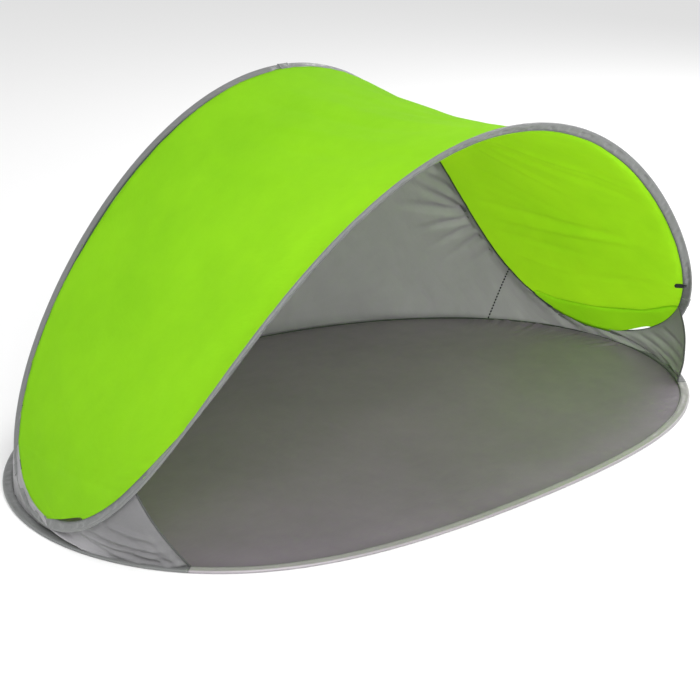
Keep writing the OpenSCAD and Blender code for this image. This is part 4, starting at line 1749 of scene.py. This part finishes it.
    def guys(self, shop: Workshop) -> bpy.types.Object:
        """Makes the webbing loops for guy lines on the back arch."""
        all_points, all_faces, first = [], [], 0
        for angle in self.guy_angles:
            s = np.array(angle)
            out, up = -HOOPS.over_spine(s), HOOPS.to_spine(s)
            t = HOOPS.along(HOOPS.roof_wire, s)
            turn = np.radians(np.linspace(24, 336, 34))
            reach = 0.0052 + 0.0128 * (1 + np.cos(turn - np.pi))
            width = 0.0078 * np.sin(turn)
            lines = np.stack([reach, width], -1)
            heading = unit(np.gradient(lines, axis=0))
            side = np.stack([-heading[:, 1], heading[:, 0]], -1)
            rings = []
            for x, y in BAND_OUTLINE:
                flat = lines + side * 0.0006 * y
                rings.append(HOOPS.roof_wire(s) + flat[:, :1] * out + flat[:, 1:] * up
                             + t * 0.005 * x)
            points, faces = tube(np.stack(rings, 1), False)
            all_points.append(points)
            all_faces.append(faces + first)
            first += len(points)
        obj = make_object("guy_line_loops", np.concatenate(all_points),
                          np.concatenate(all_faces), [shop.finishes.webbing])
        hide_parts("guy_loops")
        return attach(obj, ROOT)


# ---- studio --------------------------------------------------------------------------------


@dataclass(frozen=True)
class Studio:
    """The pale floor, the soft lights and the camera.

    Attributes:
        turn: The camera's azimuth, in degrees: 0 looks along +Y.
        rise: Its height above the horizon, in degrees.
        reach: Its distance from what it looks at, in metres.
        look_at: What it looks at.
        lens: Its focal length, in millimetres on a frame 36 mm wide.
        sky: How bright the room is.
    """

    turn: float = -41.13
    rise: float = 20.07
    reach: float = 4.394
    look_at: tuple[float, float, float] = (-0.2623, -0.2922, 0.35)
    lens: float = 84.9
    sky: float = 0.75

    def camera(self) -> None:
        """Places the camera."""
        a, e = np.radians(self.turn), np.radians(self.rise)
        away = Vector((np.sin(a) * np.cos(e), -np.cos(a) * np.cos(e), np.sin(e)))
        data = bpy.data.cameras.new("camera")
        data.lens, data.sensor_width = self.lens, 36.0
        data.clip_end = 100.0
        obj = bpy.data.objects.new("camera", data)
        bpy.context.collection.objects.link(obj)
        obj.location = Vector(self.look_at) + away * self.reach
        obj.rotation_euler = away.to_track_quat("Z", "Y").to_euler()
        bpy.context.scene.camera = obj

    def light(self, name: str, place: Sequence[float], at: Sequence[float], size: float,
              power: float) -> None:
        """Adds one soft square light.

        Args:
            name: Its name.
            place: Where it is.
            at: What it points at.
            size: Its side, in metres.
            power: Its power, in watts.
        """
        data = bpy.data.lights.new(name, "AREA")
        data.size, data.energy = size, power
        obj = bpy.data.objects.new(name, data)
        bpy.context.collection.objects.link(obj)
        obj.location = place
        away = Vector(place) - Vector(at)
        obj.rotation_euler = away.to_track_quat("Z", "Y").to_euler()

    def build(self) -> None:
        """Makes the floor, the room's light, the lights and the camera."""
        half = 30.0
        corners = np.array([(-half, -half), (half, -half), (half, half), (-half, half)])
        points = np.concatenate([corners, np.full((4, 1), -0.0006)], 1)
        ground = make_object("ground", points, np.array([[0, 1, 2, 3]]), [Backdrop().material()])
        ground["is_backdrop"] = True
        world = bpy.data.worlds.new("room")
        world.use_nodes = True
        world.node_tree.nodes["Background"].inputs[0].default_value = (1.0, 1.0, 1.0, 1.0)
        world.node_tree.nodes["Background"].inputs[1].default_value = self.sky
        scene = bpy.context.scene
        scene.world = world
        scene.view_settings.view_transform = "Standard"
        middle = (0.0, 0.0, 0.4)
        self.light("key", (-3.4, -3.6, 4.6), middle, 2.2, 120.0)
        self.light("side", (4.6, 0.6, 3.6), middle, 2.4, 120.0)
        self.light("fill", (-2.0, -5.5, 3.0), (0.3, 0.2, 0.3), 4.0, 290.0)
        self.camera()


# ---- the tent ------------------------------------------------------------------------------


def declare_sheets(walls: Sequence[bpy.types.Object],
                   floor_hoop: Sequence[bpy.types.Object]) -> None:
    """Takes the walls' and the floor hoop's pieces, and does nothing with them.
    """
    for panel in walls[:2]:
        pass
    [o.name for o in floor_hoop[:2]]


def main() -> None:
    """Builds the tent's looks, piece by piece."""
    logging.basicConfig(level=logging.INFO, format="%(name)s: %(message)s")
    shop = Workshop()
    Studio().build()
    floor, walls, roof = Floor(), Walls(), Roof()
    floor_cloth = floor.sheet(shop)
    floor_hoop = floor.hoop(shop)
    floor.pegs(shop)
    LOG.info("floor: %d pieces", 1 + len(floor_hoop))
    wall_pieces = walls.build(shop)
    LOG.info("walls: %d pieces", len(wall_pieces))
    roof_cloth = roof.sheet(shop)
    hoop = roof.hoop(shop)
    extras = [roof.binding(shop), *roof.tab(shop), roof.guys(shop)]
    LOG.info("roof: %d pieces", 1 + len(hoop) + len(extras))
    declare_sheets(wall_pieces, floor_hoop)
    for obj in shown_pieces():
        LOG.info("%s: %d faces", obj.name, len(obj.data.polygons) if obj.type == "MESH" else 0)


if __name__ == "__main__":
    main()
